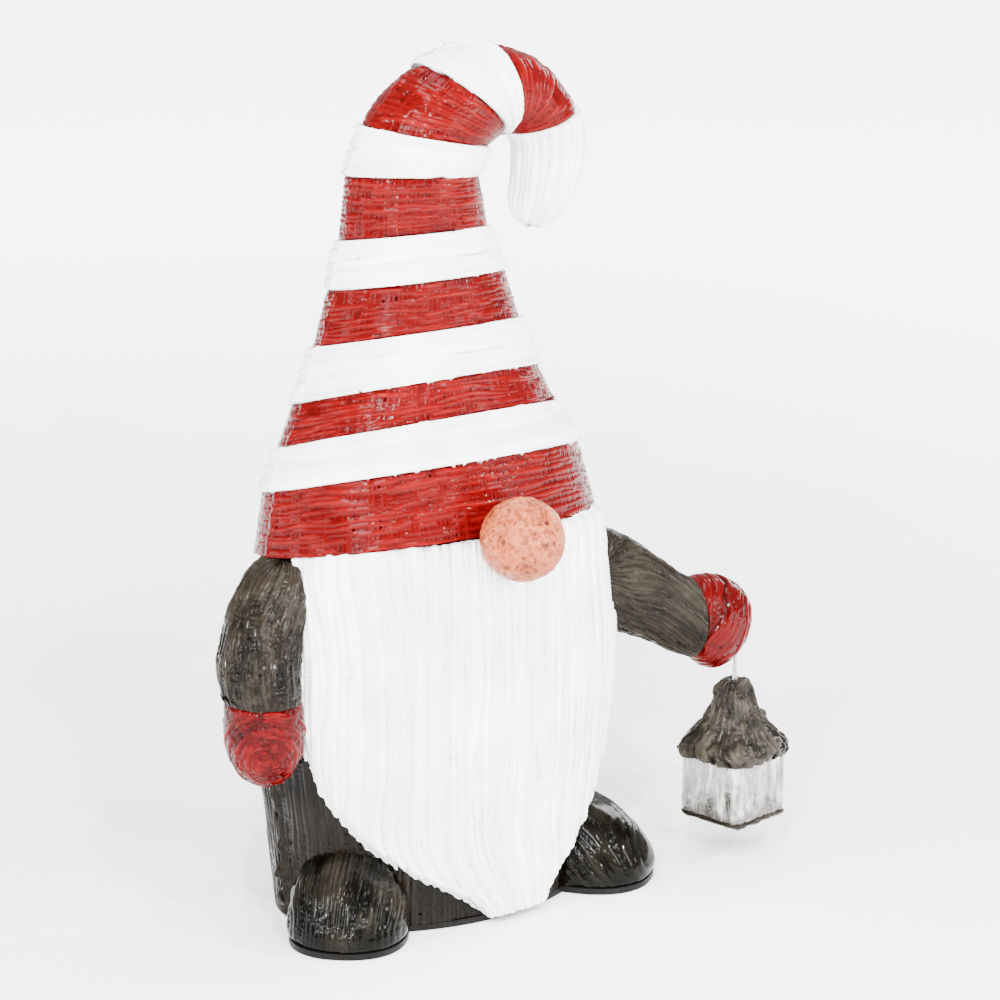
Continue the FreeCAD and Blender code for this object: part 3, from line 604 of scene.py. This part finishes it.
def ring_directions(axes, count):
    """Directions round each axis, from the figure's right side by way of its front."""
    turn = math.pi + 2 * math.pi * np.arange(count) / count
    across = np.array([Y - (Y @ n) * n for n in axes])
    across /= np.linalg.norm(across, axis=1, keepdims=True)
    side = np.cross(across, axes)
    return (side[:, None] * np.cos(turn)[:, None] + across[:, None] * np.sin(turn)[:, None])


def seam_ridge(run, total, along, seed):
    """A ragged bead down each side where the two halves' strands turn back."""
    ridge = np.zeros(run.shape)
    for place, size in ((0.0, 1.0), (0.5, 0.45)):
        away = (run - place * total + total / 2) % total - total / 2
        away = away + 1.6 * wave(0, along, 9.0, seed)
        ridge = ridge + size * np.exp(-(away / 2.2) ** 2) * (1.0 + 0.7 * wave(1, along, 4.0, seed))
    return ridge


def band_edge(loose, which, seed):
    """How far a course's uneven edge wanders, in long, middling and short waves."""
    return (2.0 * wave(which, loose, 48.0, seed) + 1.6 * wave(which + 1, loose, 17.0, seed)
            + 0.8 * wave(which + 2, loose, 6.0, seed))


def white_course(s, t, flow, seed, tip):
    """A white course: thick milky ropes with one deeper groove; the tip's run along it instead."""
    ways = (s, t + 2.0 * patches(s, t, 30.0, seed)) if tip else (t, flow)
    height, shade = laid(*ways, WHITE_PITCH, seed, depth=0.3, under_pitch=3.2, fullness=0.62,
                         wander=0.28, length=34.0, lift=0.45)
    pale = np.zeros(s.shape)
    if tip:
        pale = 0.5 * np.clip(patches(t, s, 16.0, seed + 2) - 0.1, 0, 1)
    else:
        tall = s.max() - s.min()
        groove = s - tall * 0.36 - 1.5 * wave(5, t, 60.0, seed)
        height = height - 1.1 * np.exp(-(groove / 1.1) ** 2)
    ripple = 0.4 * np.sin(t * 2 * math.pi / WAFFLE_PITCH) * np.clip(1.4 - t / 42.0, 0.12, 1)
    height = 1.35 * height + ripple - 1.4
    return height, shade, pale, raised(height, -1.2, 1.1)


def red_course(s, t, flow, seed, total):
    """A red course: fine glossy strands, with the paint worn thin on the figure's left side."""
    height, shade = laid(t, flow, HAT_PITCH, seed, depth=0.35, under_pitch=2.9, fullness=0.55,
                         wander=0.4, length=22.0, lift=0.4, broken=0.85, beads=0.16)
    height = height - 0.8
    away = np.abs(t - total * 0.5)
    worn = np.clip(1.15 - away / (0.045 * total), 0, 1)
    pale = worn * np.clip(0.55 + 0.5 * patches(t, s, 5.0, seed + 6), 0, 1) * 0.8
    return height, shade, pale, raised(height, -0.7, 0.9)


def hat_band(index):
    name = f"hat_band_{index:02d}"
    white = index % 2 == 0
    brim, tip = index == 1, index == 12
    seed = SEED + 40 * index
    rows, step = 11, 0.95
    centres, axes = section_path(name, rows)
    coarse = read_surface(tree_of(name), centres, ring_directions(axes, 120))
    loose = np.arange(int(np.mean(length_round(coarse, True)) / step))
    past = 1.9 if white else 1.0
    low = (2.4 if brim else past) + band_edge(loose, 0, seed) * (white or brim)
    high = 0.0 if tip else past + band_edge(loose, 3, seed) * white
    points, s, t = fine(coarse, 0.55, step, True, low, high)
    total = t[0, -1] + 1
    normal = facing(points, True, centres.mean(0))
    front = np.clip(np.minimum(t, total - t) / (0.06 * total), 0, 1)
    flow = s + 2.3 * patches(t, s * 2.5, 40.0, seed + 9) * front + (t > total / 2) * 500.0
    relief = white_course(s, t, flow, seed, tip) if white else red_course(s, t, flow, seed, total)
    height, shade, pale, rise = relief
    height = height + seam_ridge(t, total, s, seed)
    edge = np.minimum(s - s.min(0), s.max(0) - s)
    height = height - 0.8 * np.exp(-edge / 0.8)
    points = points + normal * height[..., None]
    low_lip = ((0.5, 0.4), (1.4, 0.6), (12.0 if brim else 5.0, 0.4))
    high_lip = ((0.5, 0.4), (1.4, 0.6), (5.0, 0.4))
    if tip:
        size = np.linalg.norm(points[-1] - centres[-1], axis=1).mean()
        high_lip = [(size * (1 - math.cos(a)), size * 0.55 * math.sin(a))
                    for a in np.linspace(0.25, math.pi / 2 - 0.02, 7)]
    inside = cubic(centres[:, None], np.linspace(0, rows - 1, len(points))[:, None])
    piece = grid_piece(f"hat_{index:02d}_lay", points, True, inside, (low_lip, high_lip),
                       rise=rise, tint=shade, thin=pale)
    finish_piece(piece, "hat_white" if white else "hat_red", WHITE if white else RED, name)


# ---------------------------------------------------------------- coat
def upright_directions(turns):
    return np.column_stack([np.cos(turns), np.sin(turns), np.zeros(len(turns))])


def upright_shell(tree, middle, heights, turns, **how):
    """A shell read level by level round an upright axis: its points and the levels' centres."""
    rows = len(heights)
    centres = np.column_stack([np.full(rows, middle[0]), np.full(rows, middle[1]), heights])
    directions = np.broadcast_to(upright_directions(turns), (rows, len(turns), 3))
    return read_surface(tree, centres, directions, **how), centres


def coat_half(side):
    """One half of the body: side -1 is the front, 1 the back."""
    names = ("body_shell_front", "body_shell_back")
    low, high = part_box("body_shell_back")
    heights = np.linspace(low.z / MM + 0.4, high.z / MM - 1.0, 46)
    turns = np.linspace(math.pi, 2 * math.pi if side < 0 else 0.0, 91)
    grid, _ = upright_shell(tree_of(*names), (0.0, 0.0), heights, turns, smooth=0)
    even_rows(grid)
    seed = SEED + 700 + side
    points, s, t = fine(grid, 1.15, 0.72, False)
    total = t[0, -1]
    flow = t + 2.2 * patches(s, t * 2.0, 60.0, seed)
    height, shade = laid(s, flow, COAT_PITCH, seed, depth=0.5, fullness=0.55, wander=0.32,
                         length=30.0, lift=0.35, broken=0.6)
    lumps = 0.9 * patches(s, t, 24.0, seed + 3)
    end = np.minimum(t, total - t)
    bead = np.exp(-((end - 1.5 + wave(3, s, 8.0, seed)) / 2.4) ** 2)
    thick = 1 + np.clip(1.4 - s / 50.0, 0, 1)
    height = height - 0.9 + lumps + bead * thick * (2.2 + 1.6 * wave(1, s, 7.0, seed))
    normal = facing(points, False, (0.0, 0.0, 120.0))
    points = points + normal * height[..., None]
    points[:, 0, 1] = points[:, -1, 1] = 0.0
    keep = None
    if side < 0:
        beard_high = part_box("beard")[1]
        middle = np.abs(points[..., 0]) < (beard_high.x / MM - 22) * np.clip(
            (points[..., 2] - 20) / 80.0, 0, 1) ** 0.6
        keep = ~middle
    lips = (((0.6, 0.3), (3.0, 0.4)), ((3.0, 0.2),))
    name = names[0] if side < 0 else names[1]
    # Each whole half is mixed 0.72 of the way to COAT's darker thin colour, while the sleeves in the
    # same paint are not: painted shade.
    piece = grid_piece(name + "_lay", points, False, (0.0, 0.0, 120.0), lips, keep,
                       rise=raised(height, -1.0, 1.6), tint=shade, thin=np.full(s.shape, 0.72))
    finish_piece(piece, "coat", COAT, name)


# ---------------------------------------------------------------- beard
def beard_edges(heights):
    """The beard's two edge bearings at each height, seen from the figure's axis."""
    corners, _ = arrays("beard")
    bearing = np.arctan2(corners[:, 0], -corners[:, 1])
    found = []
    for z in heights:
        near = bearing[np.abs(corners[:, 2] - z) < 5.0]
        found.append((near.min(), near.max()))
    found = np.array(found)
    for _ in range(2):
        even_rows(found)
    return found


def beard_surface():
    """The beard's outside as a coarse grid, from its foot up and from its right edge to its left."""
    rows, cols = 54, 81
    low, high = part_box("beard")
    heights = np.linspace(low.z / MM + 1.0, high.z / MM - 0.8, rows)
    edges = beard_edges(heights)
    share = np.linspace(-1, 1, cols)
    middle, half = edges.mean(1), np.diff(edges, axis=1)[:, 0] / 2 - 0.006
    bearing = middle[:, None] + half[:, None] * share
    directions = np.stack([np.sin(bearing), -np.cos(bearing), np.zeros(bearing.shape)], -1)
    centres = np.column_stack([np.zeros(rows), np.zeros(rows), heights])
    tree = tree_of("beard")
    radii = np.full(bearing.shape, np.nan)
    for i in range(rows):
        for j in range(cols):
            hit = outer_hit(tree, centres[i], directions[i, j])
            if hit is not None:
                radii[i, j] = np.linalg.norm(hit - centres[i])
        known = ~np.isnan(radii[i])
        if known.any():
            radii[i] = np.interp(share, share[known], radii[i][known])
    full = ~np.isnan(radii[:, 0])
    grid = (centres[:, None] + directions * radii[..., None])[full]
    even_rows(grid)
    even_rows(grid.swapaxes(0, 1))
    return grid


def beard_relief(s, part, wide, seed):
    """Height and shade of the beard's upright strands, with scallops down its upper right edge."""
    vertical = part * wide[:, None] / 2
    fanned = part * wide.max() / 2
    across = 0.8 * vertical + 0.2 * fanned
    flow = across + 2.6 * patches(s, across * 2.2, 70.0, seed)
    height, shade = laid(s, flow, BEARD_PITCH, seed, depth=0.22, under_pitch=WAFFLE_PITCH,
                         fullness=0.6, wander=0.3, length=52.0, lift=0.34, broken=0.45)
    waffle = np.sin(s * 2 * math.pi / WAFFLE_PITCH + 2 * patches(s, across, 30.0, seed + 2))
    height = 1.5 * height - 1.6 + 0.2 * waffle
    edge = (1 - np.abs(part)) * wide[:, None] / 2
    scallop = 1.5 * np.abs(np.sin(s * math.pi / SCALLOP + 1.5 * wave(0, s, 40.0, seed)))
    lobed = (part < 0) * np.clip((s / s.max() - 0.44) / 0.08, 0, 1)
    height = height + np.exp(-(edge / 3.2) ** 2) * (scallop * (0.25 + 0.75 * lobed) - 0.3)
    return height - 3.0 * np.exp(-(s.max() - s) / 3.0), shade


def beard_hem(edge, inner):
    """Columns of points that turn one side edge of the beard in towards the body."""
    onward = edge - inner
    onward = onward / np.maximum(np.linalg.norm(onward, axis=1, keepdims=True), 1e-9)
    inward = edge * np.array([-1.0, -1.0, 0.0])
    inward = inward / np.linalg.norm(inward, axis=1, keepdims=True)
    return [edge + inward * deep + onward * on for deep, on in BEARD_HEM]


def beard():
    points, s, _ = fine(beard_surface(), 1.1, 0.52, False)
    wide = length_round(points, False)
    part = np.linspace(-1, 1, s.shape[1])[None]
    height, shade = beard_relief(s, part, wide, SEED + 900)
    points = points + facing(points, False, (0.0, 60.0, 130.0)) * height[..., None]
    before = beard_hem(points[:, 0], points[:, 3])[::-1]
    after = beard_hem(points[:, -1], points[:, -4])
    points = np.stack([*before, *points.transpose(1, 0, 2), *after], 1)
    extend = ((0, 0), (len(BEARD_HEM), len(BEARD_HEM)))
    rise = np.pad(raised(height, -1.1, 1.2), extend, mode="edge")
    lip = ((0.8, 0.5), (6.0, 0.5))
    piece = grid_piece("beard_lay", points, False, (0.0, 0.0, 130.0), (lip, lip), rise=rise,
                       tint=np.pad(shade, extend, mode="edge"), thin=np.zeros(rise.shape))
    finish_piece(piece, "beard", BEARD_WHITE, "beard")


# ---------------------------------------------------------------- limbs and rounded pieces
def basis(axis, up=Z):
    side = np.cross(up, axis)
    if np.linalg.norm(side) < 0.2:
        side = np.cross(Y, axis)
    side /= np.linalg.norm(side)
    return side, np.cross(axis, side)


def fan_grid(tree, centre, axis, reach, rows, cols):
    """Points on a rounded piece, out from its pole on the axis."""
    side, other = basis(axis)
    polar = np.radians(np.linspace(1.5, reach, rows))
    ring = circle(side, other, cols)
    directions = axis * np.cos(polar)[:, None, None] + ring * np.sin(polar)[:, None, None]
    return read_surface(tree, np.repeat(centre[None], rows, 0), directions)


def rounded(name, slot, material, centre, axis, reach, field, step=0.62, rise=(-1.0, 1.2), rows=44,
            cols=110):
    """A rounded shell whose strands come from a function of each point's place."""
    coarse = fan_grid(tree_of(name), centre, axis, reach, rows, cols)
    points, _, _ = fine(coarse, step, step, True)
    normal = facing(points, True, centre)
    height, shade = field(points)
    points = points + normal * height[..., None]
    points[0] = points[0].mean(0)
    piece = grid_piece(name + "_lay", points, True, centre, ((), ((2.0, 0.3), (6.0, 0.3))),
                       rise=raised(height, *rise), tint=shade, thin=np.zeros(shade.shape))
    return finish_piece(piece, slot, material, name)


def box_of(name):
    low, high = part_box(name)
    return np.array(low) / MM, np.array(high) / MM


def box_place(name, x, y, z):
    low, high = box_of(name)
    return low + (high - low) * np.array([x, y, z])


def nose():
    seed = SEED + 1000
    centre = box_place("nose", 0.5, 0.5, 0.5)
    low, high = box_of("nose")
    centre[1] = low[1] + (high[2] - low[2]) / 2

    def squiggles(points):
        height = np.zeros(points.shape[:2])
        for k, (length, size) in enumerate(((2.6, 0.42), (1.7, 0.3), (7.5, 0.3))):
            height += size * (1 - 2.4 * np.abs(cloud(points, length, seed + 7 * k)))
        return height, hashed(np.floor(points[..., 0] / 3), np.floor(points[..., 2] / 3), seed)

    rounded("nose", "nose", NOSE, centre, -Y, 150.0, squiggles, step=0.55, rise=(-0.6, 1.1))


def mitten_right():
    seed = SEED + 1100
    centre = box_place("mitten_right", 0.5, 0.5, 0.55)
    whorl = box_place("mitten_right", 0.28, 0.02, 0.30)

    def rings(points):
        away = points - whorl
        far = np.linalg.norm(away, axis=2)
        turn = np.arctan2(away[..., 2], away[..., 0] - away[..., 1])
        far = far + 1.6 * cloud(points, 14.0, seed) + 0.8 * cloud(points, 5.0, seed + 1)
        height, shade = laid(turn * 16.0, far, MITTEN_PITCH, seed, depth=0.3, under_pitch=2.6,
                             fullness=0.56, wander=0.3, length=9.0, lift=0.35, broken=1.1,
                             beads=0.2)
        return height - 0.8 + 0.5 * cloud(points, 11.0, seed + 2), shade

    rounded("mitten_right", "mittens", MITTEN_RED, centre, -Z, 150.0, rings, rise=(-0.8, 1.0))


def mitten_left():
    seed = SEED + 1200
    _, cuff, back = min(flat_faces("mitten_left")[:3], key=lambda f: f[1][0])
    axis = -back
    centre = cuff + axis * 20.0

    def folds(points):
        place = points - centre
        across = place[..., 0] * 0.75 - place[..., 2] * 0.35 + 5.0 * cloud(points, 15.0, seed)
        along = place[..., 2] - 0.4 * place[..., 1]
        height, shade = laid(along, across, MITTEN_PITCH * 1.15, seed, depth=0.5, fullness=0.6,
                             wander=0.35, length=14.0, lift=0.5, broken=0.6)
        fold = np.abs(wave(2, across + 3.0 * cloud(points, 13.0, seed + 5), 8.0, seed))
        return 0.7 * height - 1.0 - 1.2 * np.exp(-(fold / 0.16) ** 2), shade

    rounded("mitten_left", "mittens", MITTEN_RED, centre, axis, 128.0, folds, rise=(-1.8, 0.8))


def boot(side):
    name = "boot_right" if side < 0 else "boot_left"
    seed = SEED + 1300 + side
    centre = box_place(name, 0.5, 0.5, 0.25)
    heel = box_place(name, 0.5, 0.5, 0.45) - np.array([25.0, -17.0, 34.0])
    slant = np.array([0.72, -0.69, 0.0])

    def planes(points):
        if side < 0:
            across, along = (points - centre) @ slant, points[..., 2]
        else:
            away = points - heel
            across = np.linalg.norm(away, axis=2)
            along = 40.0 * np.arctan2(away[..., 2], away[..., 0] - away[..., 1])
        across = across + 1.6 * cloud(points, 30.0, seed)
        height, shade = laid(along, across, BOOT_PITCH, seed, depth=0.8, fullness=0.58,
                             wander=0.26, length=30.0, lift=0.45, broken=0.5, beads=0.22)
        lumps = (1.7 if side < 0 else 0.8) * cloud(points, 13.0, seed + 4)
        foot = np.exp(-(points[..., 2] - 4.0) / 4.0)
        return (height - 0.9 + lumps) * (1 - 0.6 * np.clip(foot, 0, 1)), shade

    rounded(name, "boots", BOOT, centre, Z, 112.0, planes, step=0.66, rise=(-1.2, 1.8), rows=50,
            cols=130)


def sleeve(side):
    """An arm: rows from the cuff up along it, with the part inside the body filled in."""
    name = "sleeve_right" if side < 0 else "sleeve_left"
    seed = SEED + 1500 + side
    faces = flat_faces(name)
    cuff = max((f for f in faces if f[0] > 150), key=lambda f: -f[1][2] if side < 0 else f[1][0])
    _, start, face = cuff
    axis = -face
    corners, _ = arrays(name)
    far = (corners - start) @ axis
    side_way, other = basis(axis, Y)
    rows, cols = 34, 110
    reach = far.max() - 1.5
    steps = np.linspace(0.5, reach, rows)
    middles = []
    for step in steps:
        near = corners[np.abs(far - step) < 6.0] - start
        a, b = near @ side_way, near @ other
        middles.append(((a.min() + a.max()) / 2, (b.min() + b.max()) / 2))
    middles = np.array(middles)
    fitted = np.column_stack([np.polyval(np.polyfit(steps, middles[:, k], 2), steps)
                              for k in (0, 1)])
    fitted -= fitted[0] * (1 - steps / reach)[:, None]
    centres = start + axis * steps[:, None] + side_way * fitted[:, :1] + other * fitted[:, 1:]
    ring = np.broadcast_to(circle(side_way, other, cols), (rows, cols, 3))
    coarse = read_surface(tree_of(name), centres, ring)
    points, s, t = fine(coarse, 0.66, 0.66, True, 3.4 if side < 0 else 0.6, 0.0)
    normal = facing(points, True, centres.mean(0))
    if side < 0:
        flow = t + 2.0 * patches(s, t, 34.0, seed)
        height, shade = laid(s, flow, COAT_PITCH * 0.85, seed, depth=0.5, fullness=0.58, wander=0.3,
                             length=16.0, lift=0.5, broken=0.8, beads=0.3)
    else:
        flow = t + 3.4 * patches(s, t, 30.0, seed) + 0.006 * (s - 40.0) ** 2
        height, shade = laid(s, flow, COAT_PITCH * 0.8, seed, depth=0.6, fullness=0.58, wander=0.3,
                             length=24.0, lift=0.4, broken=0.7, beads=0.2)
    lumps = 1.3 * cloud(points, 17.0, seed + 3) + 0.35 * cloud(points, 4.0, seed + 4)
    height = height - 0.8 + lumps
    points = points + normal * height[..., None]
    inside = cubic(centres[:, None], np.linspace(0, rows - 1, len(points))[:, None])
    piece = grid_piece(name + "_lay", points, True, inside, (((0.7, 0.4), (4.0, 0.5)),
                       ((6.0, 1.5), (14.0, 2.5))), rise=raised(height, -1.6, 1.6), tint=shade,
                       thin=np.zeros(shade.shape))
    finish_piece(piece, "coat", COAT, name)


# ---------------------------------------------------------------- lantern
def lantern_axis():
    low, high = box_of("lead_ferrule")
    return (low + high)[:2] / 2


def lantern_roof():
    seed = SEED + 1700
    low, high = box_of("lantern_roof")
    heights = np.concatenate([np.linspace(low[2] + 0.6, low[2] + 14, 14),
                              np.linspace(low[2] + 16, high[2] - 0.5, 26)])
    coarse, centres = upright_shell(tree_of("lantern_roof"), lantern_axis(), heights, full_turn(144))
    step = 0.55
    loose = np.arange(int(np.mean(length_round(coarse, True)) / step)) * step
    lobes = 3.4 * np.abs(np.sin(loose * math.pi / LOBE + 1.2 * wave(0, loose, 20.0, seed))) - 1.0
    points, s, t = fine(coarse, step, step, True, lobes, 0.0)
    normal = facing(points, True, centres.mean(0))
    flow = t + 3.5 * patches(s, t, 16.0, seed)
    height, shade = laid(s, flow, ROOF_PITCH, seed, depth=0.5, fullness=0.58, wander=0.4, length=12.0,
                         lift=0.5, broken=0.8, beads=0.35)
    knobs = np.abs(np.sin(t * math.pi / LOBE + 1.2 * wave(0, t, 20.0, seed)))
    eaves = np.exp(-(s / 7.0) ** 2)
    lumps = 1.5 * cloud(points, 9.0, seed + 3) + 0.5 * cloud(points, 3.6, seed + 4)
    height = (height - 0.9) * (1 - 0.6 * eaves) + lumps + eaves * (1.8 * knobs - 0.8)
    points = points + normal * height[..., None]
    inside = cubic(centres[:, None], np.linspace(0, len(heights) - 1, len(points))[:, None])
    lips = (((0.8, 0.6), (2.4, 0.8), (6.0, -2.0)), ((1.5, 0.8), (3.4, 1.0), (9.0, 0.6)))
    piece = grid_piece("lantern_roof_lay", points, True, inside, lips,
                       rise=raised(height, -1.6, 2.0), tint=shade, thin=np.zeros(shade.shape))
    finish_piece(piece, "lantern_dark", ROOF, "lantern_roof")


def lantern_walls():
    seed = SEED + 1800
    low, high = box_of("lantern_walls")
    heights = np.linspace(low[2] + 0.3, high[2] - 0.4, 14)
    coarse, centres = upright_shell(tree_of("lantern_walls"), lantern_axis(), heights,
                                    full_turn(160), smooth=0)
    points, s, t = fine(coarse, 0.8, 0.5, True)
    normal = facing(points, True, centres.mean(0))
    flow = t + 2.0 * patches(s, t, 12.0, seed)
    height, shade = laid(s, flow, WALL_PITCH, seed, depth=0.4, fullness=0.56, wander=0.35, length=11.0,
                         lift=0.35, broken=0.9)
    height = height - 0.9 + 0.9 * cloud(points, 12.0, seed + 2)
    smoke = np.clip(1.15 - s / 9.0 + 0.6 * patches(s, t, 4.0, seed + 4), 0, 1)
    smoke = smoke + 0.6 * np.clip(patches(s * 0.6, t, 5.0, seed + 5) - 0.3, 0, 1)
    points = points + normal * height[..., None]
    piece = grid_piece("lantern_walls_lay", points, True, centres.mean(0), ((), ()),
                       rise=raised(height, -1.0, 1.2), tint=shade, thin=np.clip(smoke, 0, 1))
    finish_piece(piece, "lantern_clear", clear_wall(), "lantern_walls")


def lantern_floor():
    seed = SEED + 1850
    centre = np.array([*lantern_axis(), box_of("lantern_floor")[1][2] - 0.5])
    polar = np.radians(np.concatenate([np.linspace(1.0, 70, 24), np.linspace(73, 89.5, 12)]))
    ring = upright_directions(full_turn(160))
    directions = -Z * np.cos(polar)[:, None, None] + ring * np.sin(polar)[:, None, None]
    coarse = read_surface(tree_of("lantern_floor"), np.repeat(centre[None], len(polar), 0),
                          directions, smooth=0)
    points, _, _ = fine(coarse, 0.7, 0.5, True)
    normal = facing(points, True, centre)
    place = points - centre
    height, shade = laid(place[..., 1], place[..., 0] + 2.0 * cloud(points, 10.0, seed), 2.8, seed,
                         depth=0.3, wander=0.4, length=9.0, lift=0.4, broken=0.9)
    height = height - 1.0 + 0.9 * cloud(points, 8.0, seed + 1)
    points = points + normal * height[..., None]
    points[0] = points[0].mean(0)
    piece = grid_piece("lantern_floor_lay", points, True, centre, ((), ((0.8, 0.8), (4.0, 0.9))),
                       rise=raised(height, -1.2, 1.4), tint=shade, thin=np.zeros(shade.shape))
    finish_piece(piece, "lantern_dark", ROOF, "lantern_floor")


def lantern_lead():
    """The clear lead: two fine limp strands that twist once and part where they enter the roof."""
    low, high = box_of("lantern_lead")
    middle = (low + high)[:2] / 2
    share = np.linspace(0, 1, 7)
    heights = high[2] - 1.0 - (high[2] - low[2] - 2.0) * share
    gap = 0.6 + 1.3 * np.clip(share - 0.5, 0, 1)
    for k, phase in enumerate((0.0, math.pi)):
        turn = phase + 0.6 + 2.2 * share
        path = np.column_stack([middle[0] + gap * np.cos(turn), middle[1] + gap * np.sin(turn),
                                heights]) * MM
        curve = bpy.data.curves.new(f"lantern_lead_strand_{k + 1}", "CURVE")
        curve.dimensions = "3D"
        curve.bevel_depth = LEAD_STRAND / 2
        curve.bevel_resolution = 4
        curve.use_fill_caps = True
        spline = curve.splines.new("NURBS")
        spline.points.add(len(path) - 1)
        for point, place in zip(spline.points, path):
            point.co = (*place, 1.0)
        spline.order_u = 3
        spline.use_endpoint_u = True
        piece = bpy.data.objects.new(curve.name, curve)
        bpy.context.scene.collection.objects.link(piece)
        finish_piece(piece, "lead_clear", CLEAR_STRAND, "lantern_lead")


CLEAR_STRAND = clear_strand()


# ---------------------------------------------------------------- inner pieces
INNER = {
    "base": moulded("base_black", (0.004, 0.0035, 0.003), 0.4, shine=0.08),
    "box_plastic": moulded("box_plastic", (0.035, 0.035, 0.037), 0.5),
    "slider": moulded("slider_plastic", (0.62, 0.62, 0.60), 0.45),
    "seal": moulded("seal_rubber", (0.03, 0.03, 0.03), 0.8),
    "steel": moulded("steel_plated", (0.55, 0.55, 0.54), 0.28, metal=1.0),
    "cell_jacket": moulded("cell_jacket", (0.09, 0.12, 0.10), 0.35),
    "board": moulded("board_green", (0.02, 0.11, 0.05), 0.45),
    "anchor": moulded("anchor_acrylic", (0.10, 0.085, 0.07), 0.4),
    "lamp": moulded("lamp_lens", (0.95, 0.86, 0.62), 0.18, coat=0.5),
    "lead_clear": CLEAR_STRAND,
}


def slot_names():
    found = {}
    for entry in frame["record"]["materials"]:
        for name in entry.get("nodes", []):
            found[name] = entry["slot"]
    return found


def dress_inner_nodes():
    slots = slot_names()
    for name, node in NODES.items():
        if node.hide_render:
            continue
        node.data.materials.clear()
        node.data.materials.append(INNER.get(slots.get(name), INNER["base"]))
        for polygon in node.data.polygons:
            polygon.use_smooth = True


# ---------------------------------------------------------------- studio
LIGHT_AIM = Vector((0.0, 0.0, 0.28))
LIGHTS = (
    ("key", (-1.9, -1.7, 2.2), (0.9, 0.9), 105),
    ("fill", (1.6, -2.2, 1.2), (0.7, 1.2), 62),
    ("top", (0.3, 0.2, 2.6), (1.2, 1.2), 66),
    ("left", (-2.4, 0.6, 0.9), (0.5, 1.4), 34),
    ("right", (2.3, 0.9, 1.1), (0.5, 1.4), 26),
)
# Small bright lights that put sharp glints on the glossy strands.
GLINTS = ((-0.6, -2.6, 1.5), (-1.8, -1.9, 0.7), (-1.2, -1.4, 2.4), (0.5, -2.5, 0.9),
          (-2.6, -0.4, 1.3), (-1.6, -2.1, 1.7), (-0.2, -1.9, 2.3), (1.6, -1.6, 1.7))


def area_light(name, place, size, power):
    lamp = bpy.data.lights.new(name, "AREA")
    lamp.shape = "RECTANGLE"
    lamp.size, lamp.size_y = size
    lamp.energy = power
    thing = bpy.data.objects.new(name, lamp)
    thing.location = place
    thing.rotation_euler = (LIGHT_AIM - Vector(place)).to_track_quat("-Z", "Y").to_euler()
    bpy.context.scene.collection.objects.link(thing)


def studio():
    floor_points = np.array([[x, y, -0.4] for y in (-6000, 6000) for x in (-6000, 6000)], float)
    floor = make_mesh("studio_floor", floor_points, [[0, 1, 3, 2]])
    s = Shader("studio_pale")
    pale = s.ramp(s.noise(2.0), (0.3, (0.93, 0.93, 0.93)), (0.7, (0.95, 0.95, 0.95)))
    away = s.add("ShaderNodeVectorMath", operation="LENGTH")
    s.join(s.place, away.inputs[0])
    s.set(colour=pale, rough=0.9, shine=0.1,
          emission=s.fit(away.outputs["Value"], 0.0, 5.0, 0.5, 2.4))
    s.surface.inputs["Emission Color"].default_value = (1, 1, 1, 1)
    floor.data.materials.append(s.material)
    world = bpy.data.worlds.new("studio_air")
    world.use_nodes = True
    air = world.node_tree.nodes["Background"]
    air.inputs["Color"].default_value = (1, 1, 1, 1)
    air.inputs["Strength"].default_value = 1.0
    bpy.context.scene.world = world
    for name, place, size, power in LIGHTS:
        area_light(name, place, size, power)
    for number, place in enumerate(GLINTS):
        area_light(f"glint_{number}", place, (0.05, 0.05), 54)


def camera():
    lens = bpy.data.cameras.new("camera")
    lens.lens = CAMERA_LENS
    lens.sensor_width = 36.0
    thing = bpy.data.objects.new("camera", lens)
    turn, rise = math.radians(CAMERA_AZIMUTH), math.radians(CAMERA_ELEVATION)
    back = Vector((math.sin(turn) * math.cos(rise), -math.cos(turn) * math.cos(rise), math.sin(rise)))
    thing.location = Vector(CAMERA_TARGET) + back * CAMERA_DISTANCE
    thing.rotation_euler = (-back).to_track_quat("-Z", "Y").to_euler()
    bpy.context.scene.collection.objects.link(thing)
    bpy.context.scene.camera = thing


for band in range(1, 13):
    hat_band(band)
coat_half(-1)
coat_half(1)
beard()
nose()
mitten_right()
mitten_left()
boot(-1)
boot(1)
sleeve(-1)
sleeve(1)
lantern_roof()
lantern_walls()
lantern_floor()
lantern_lead()
dress_inner_nodes()
studio()
camera()
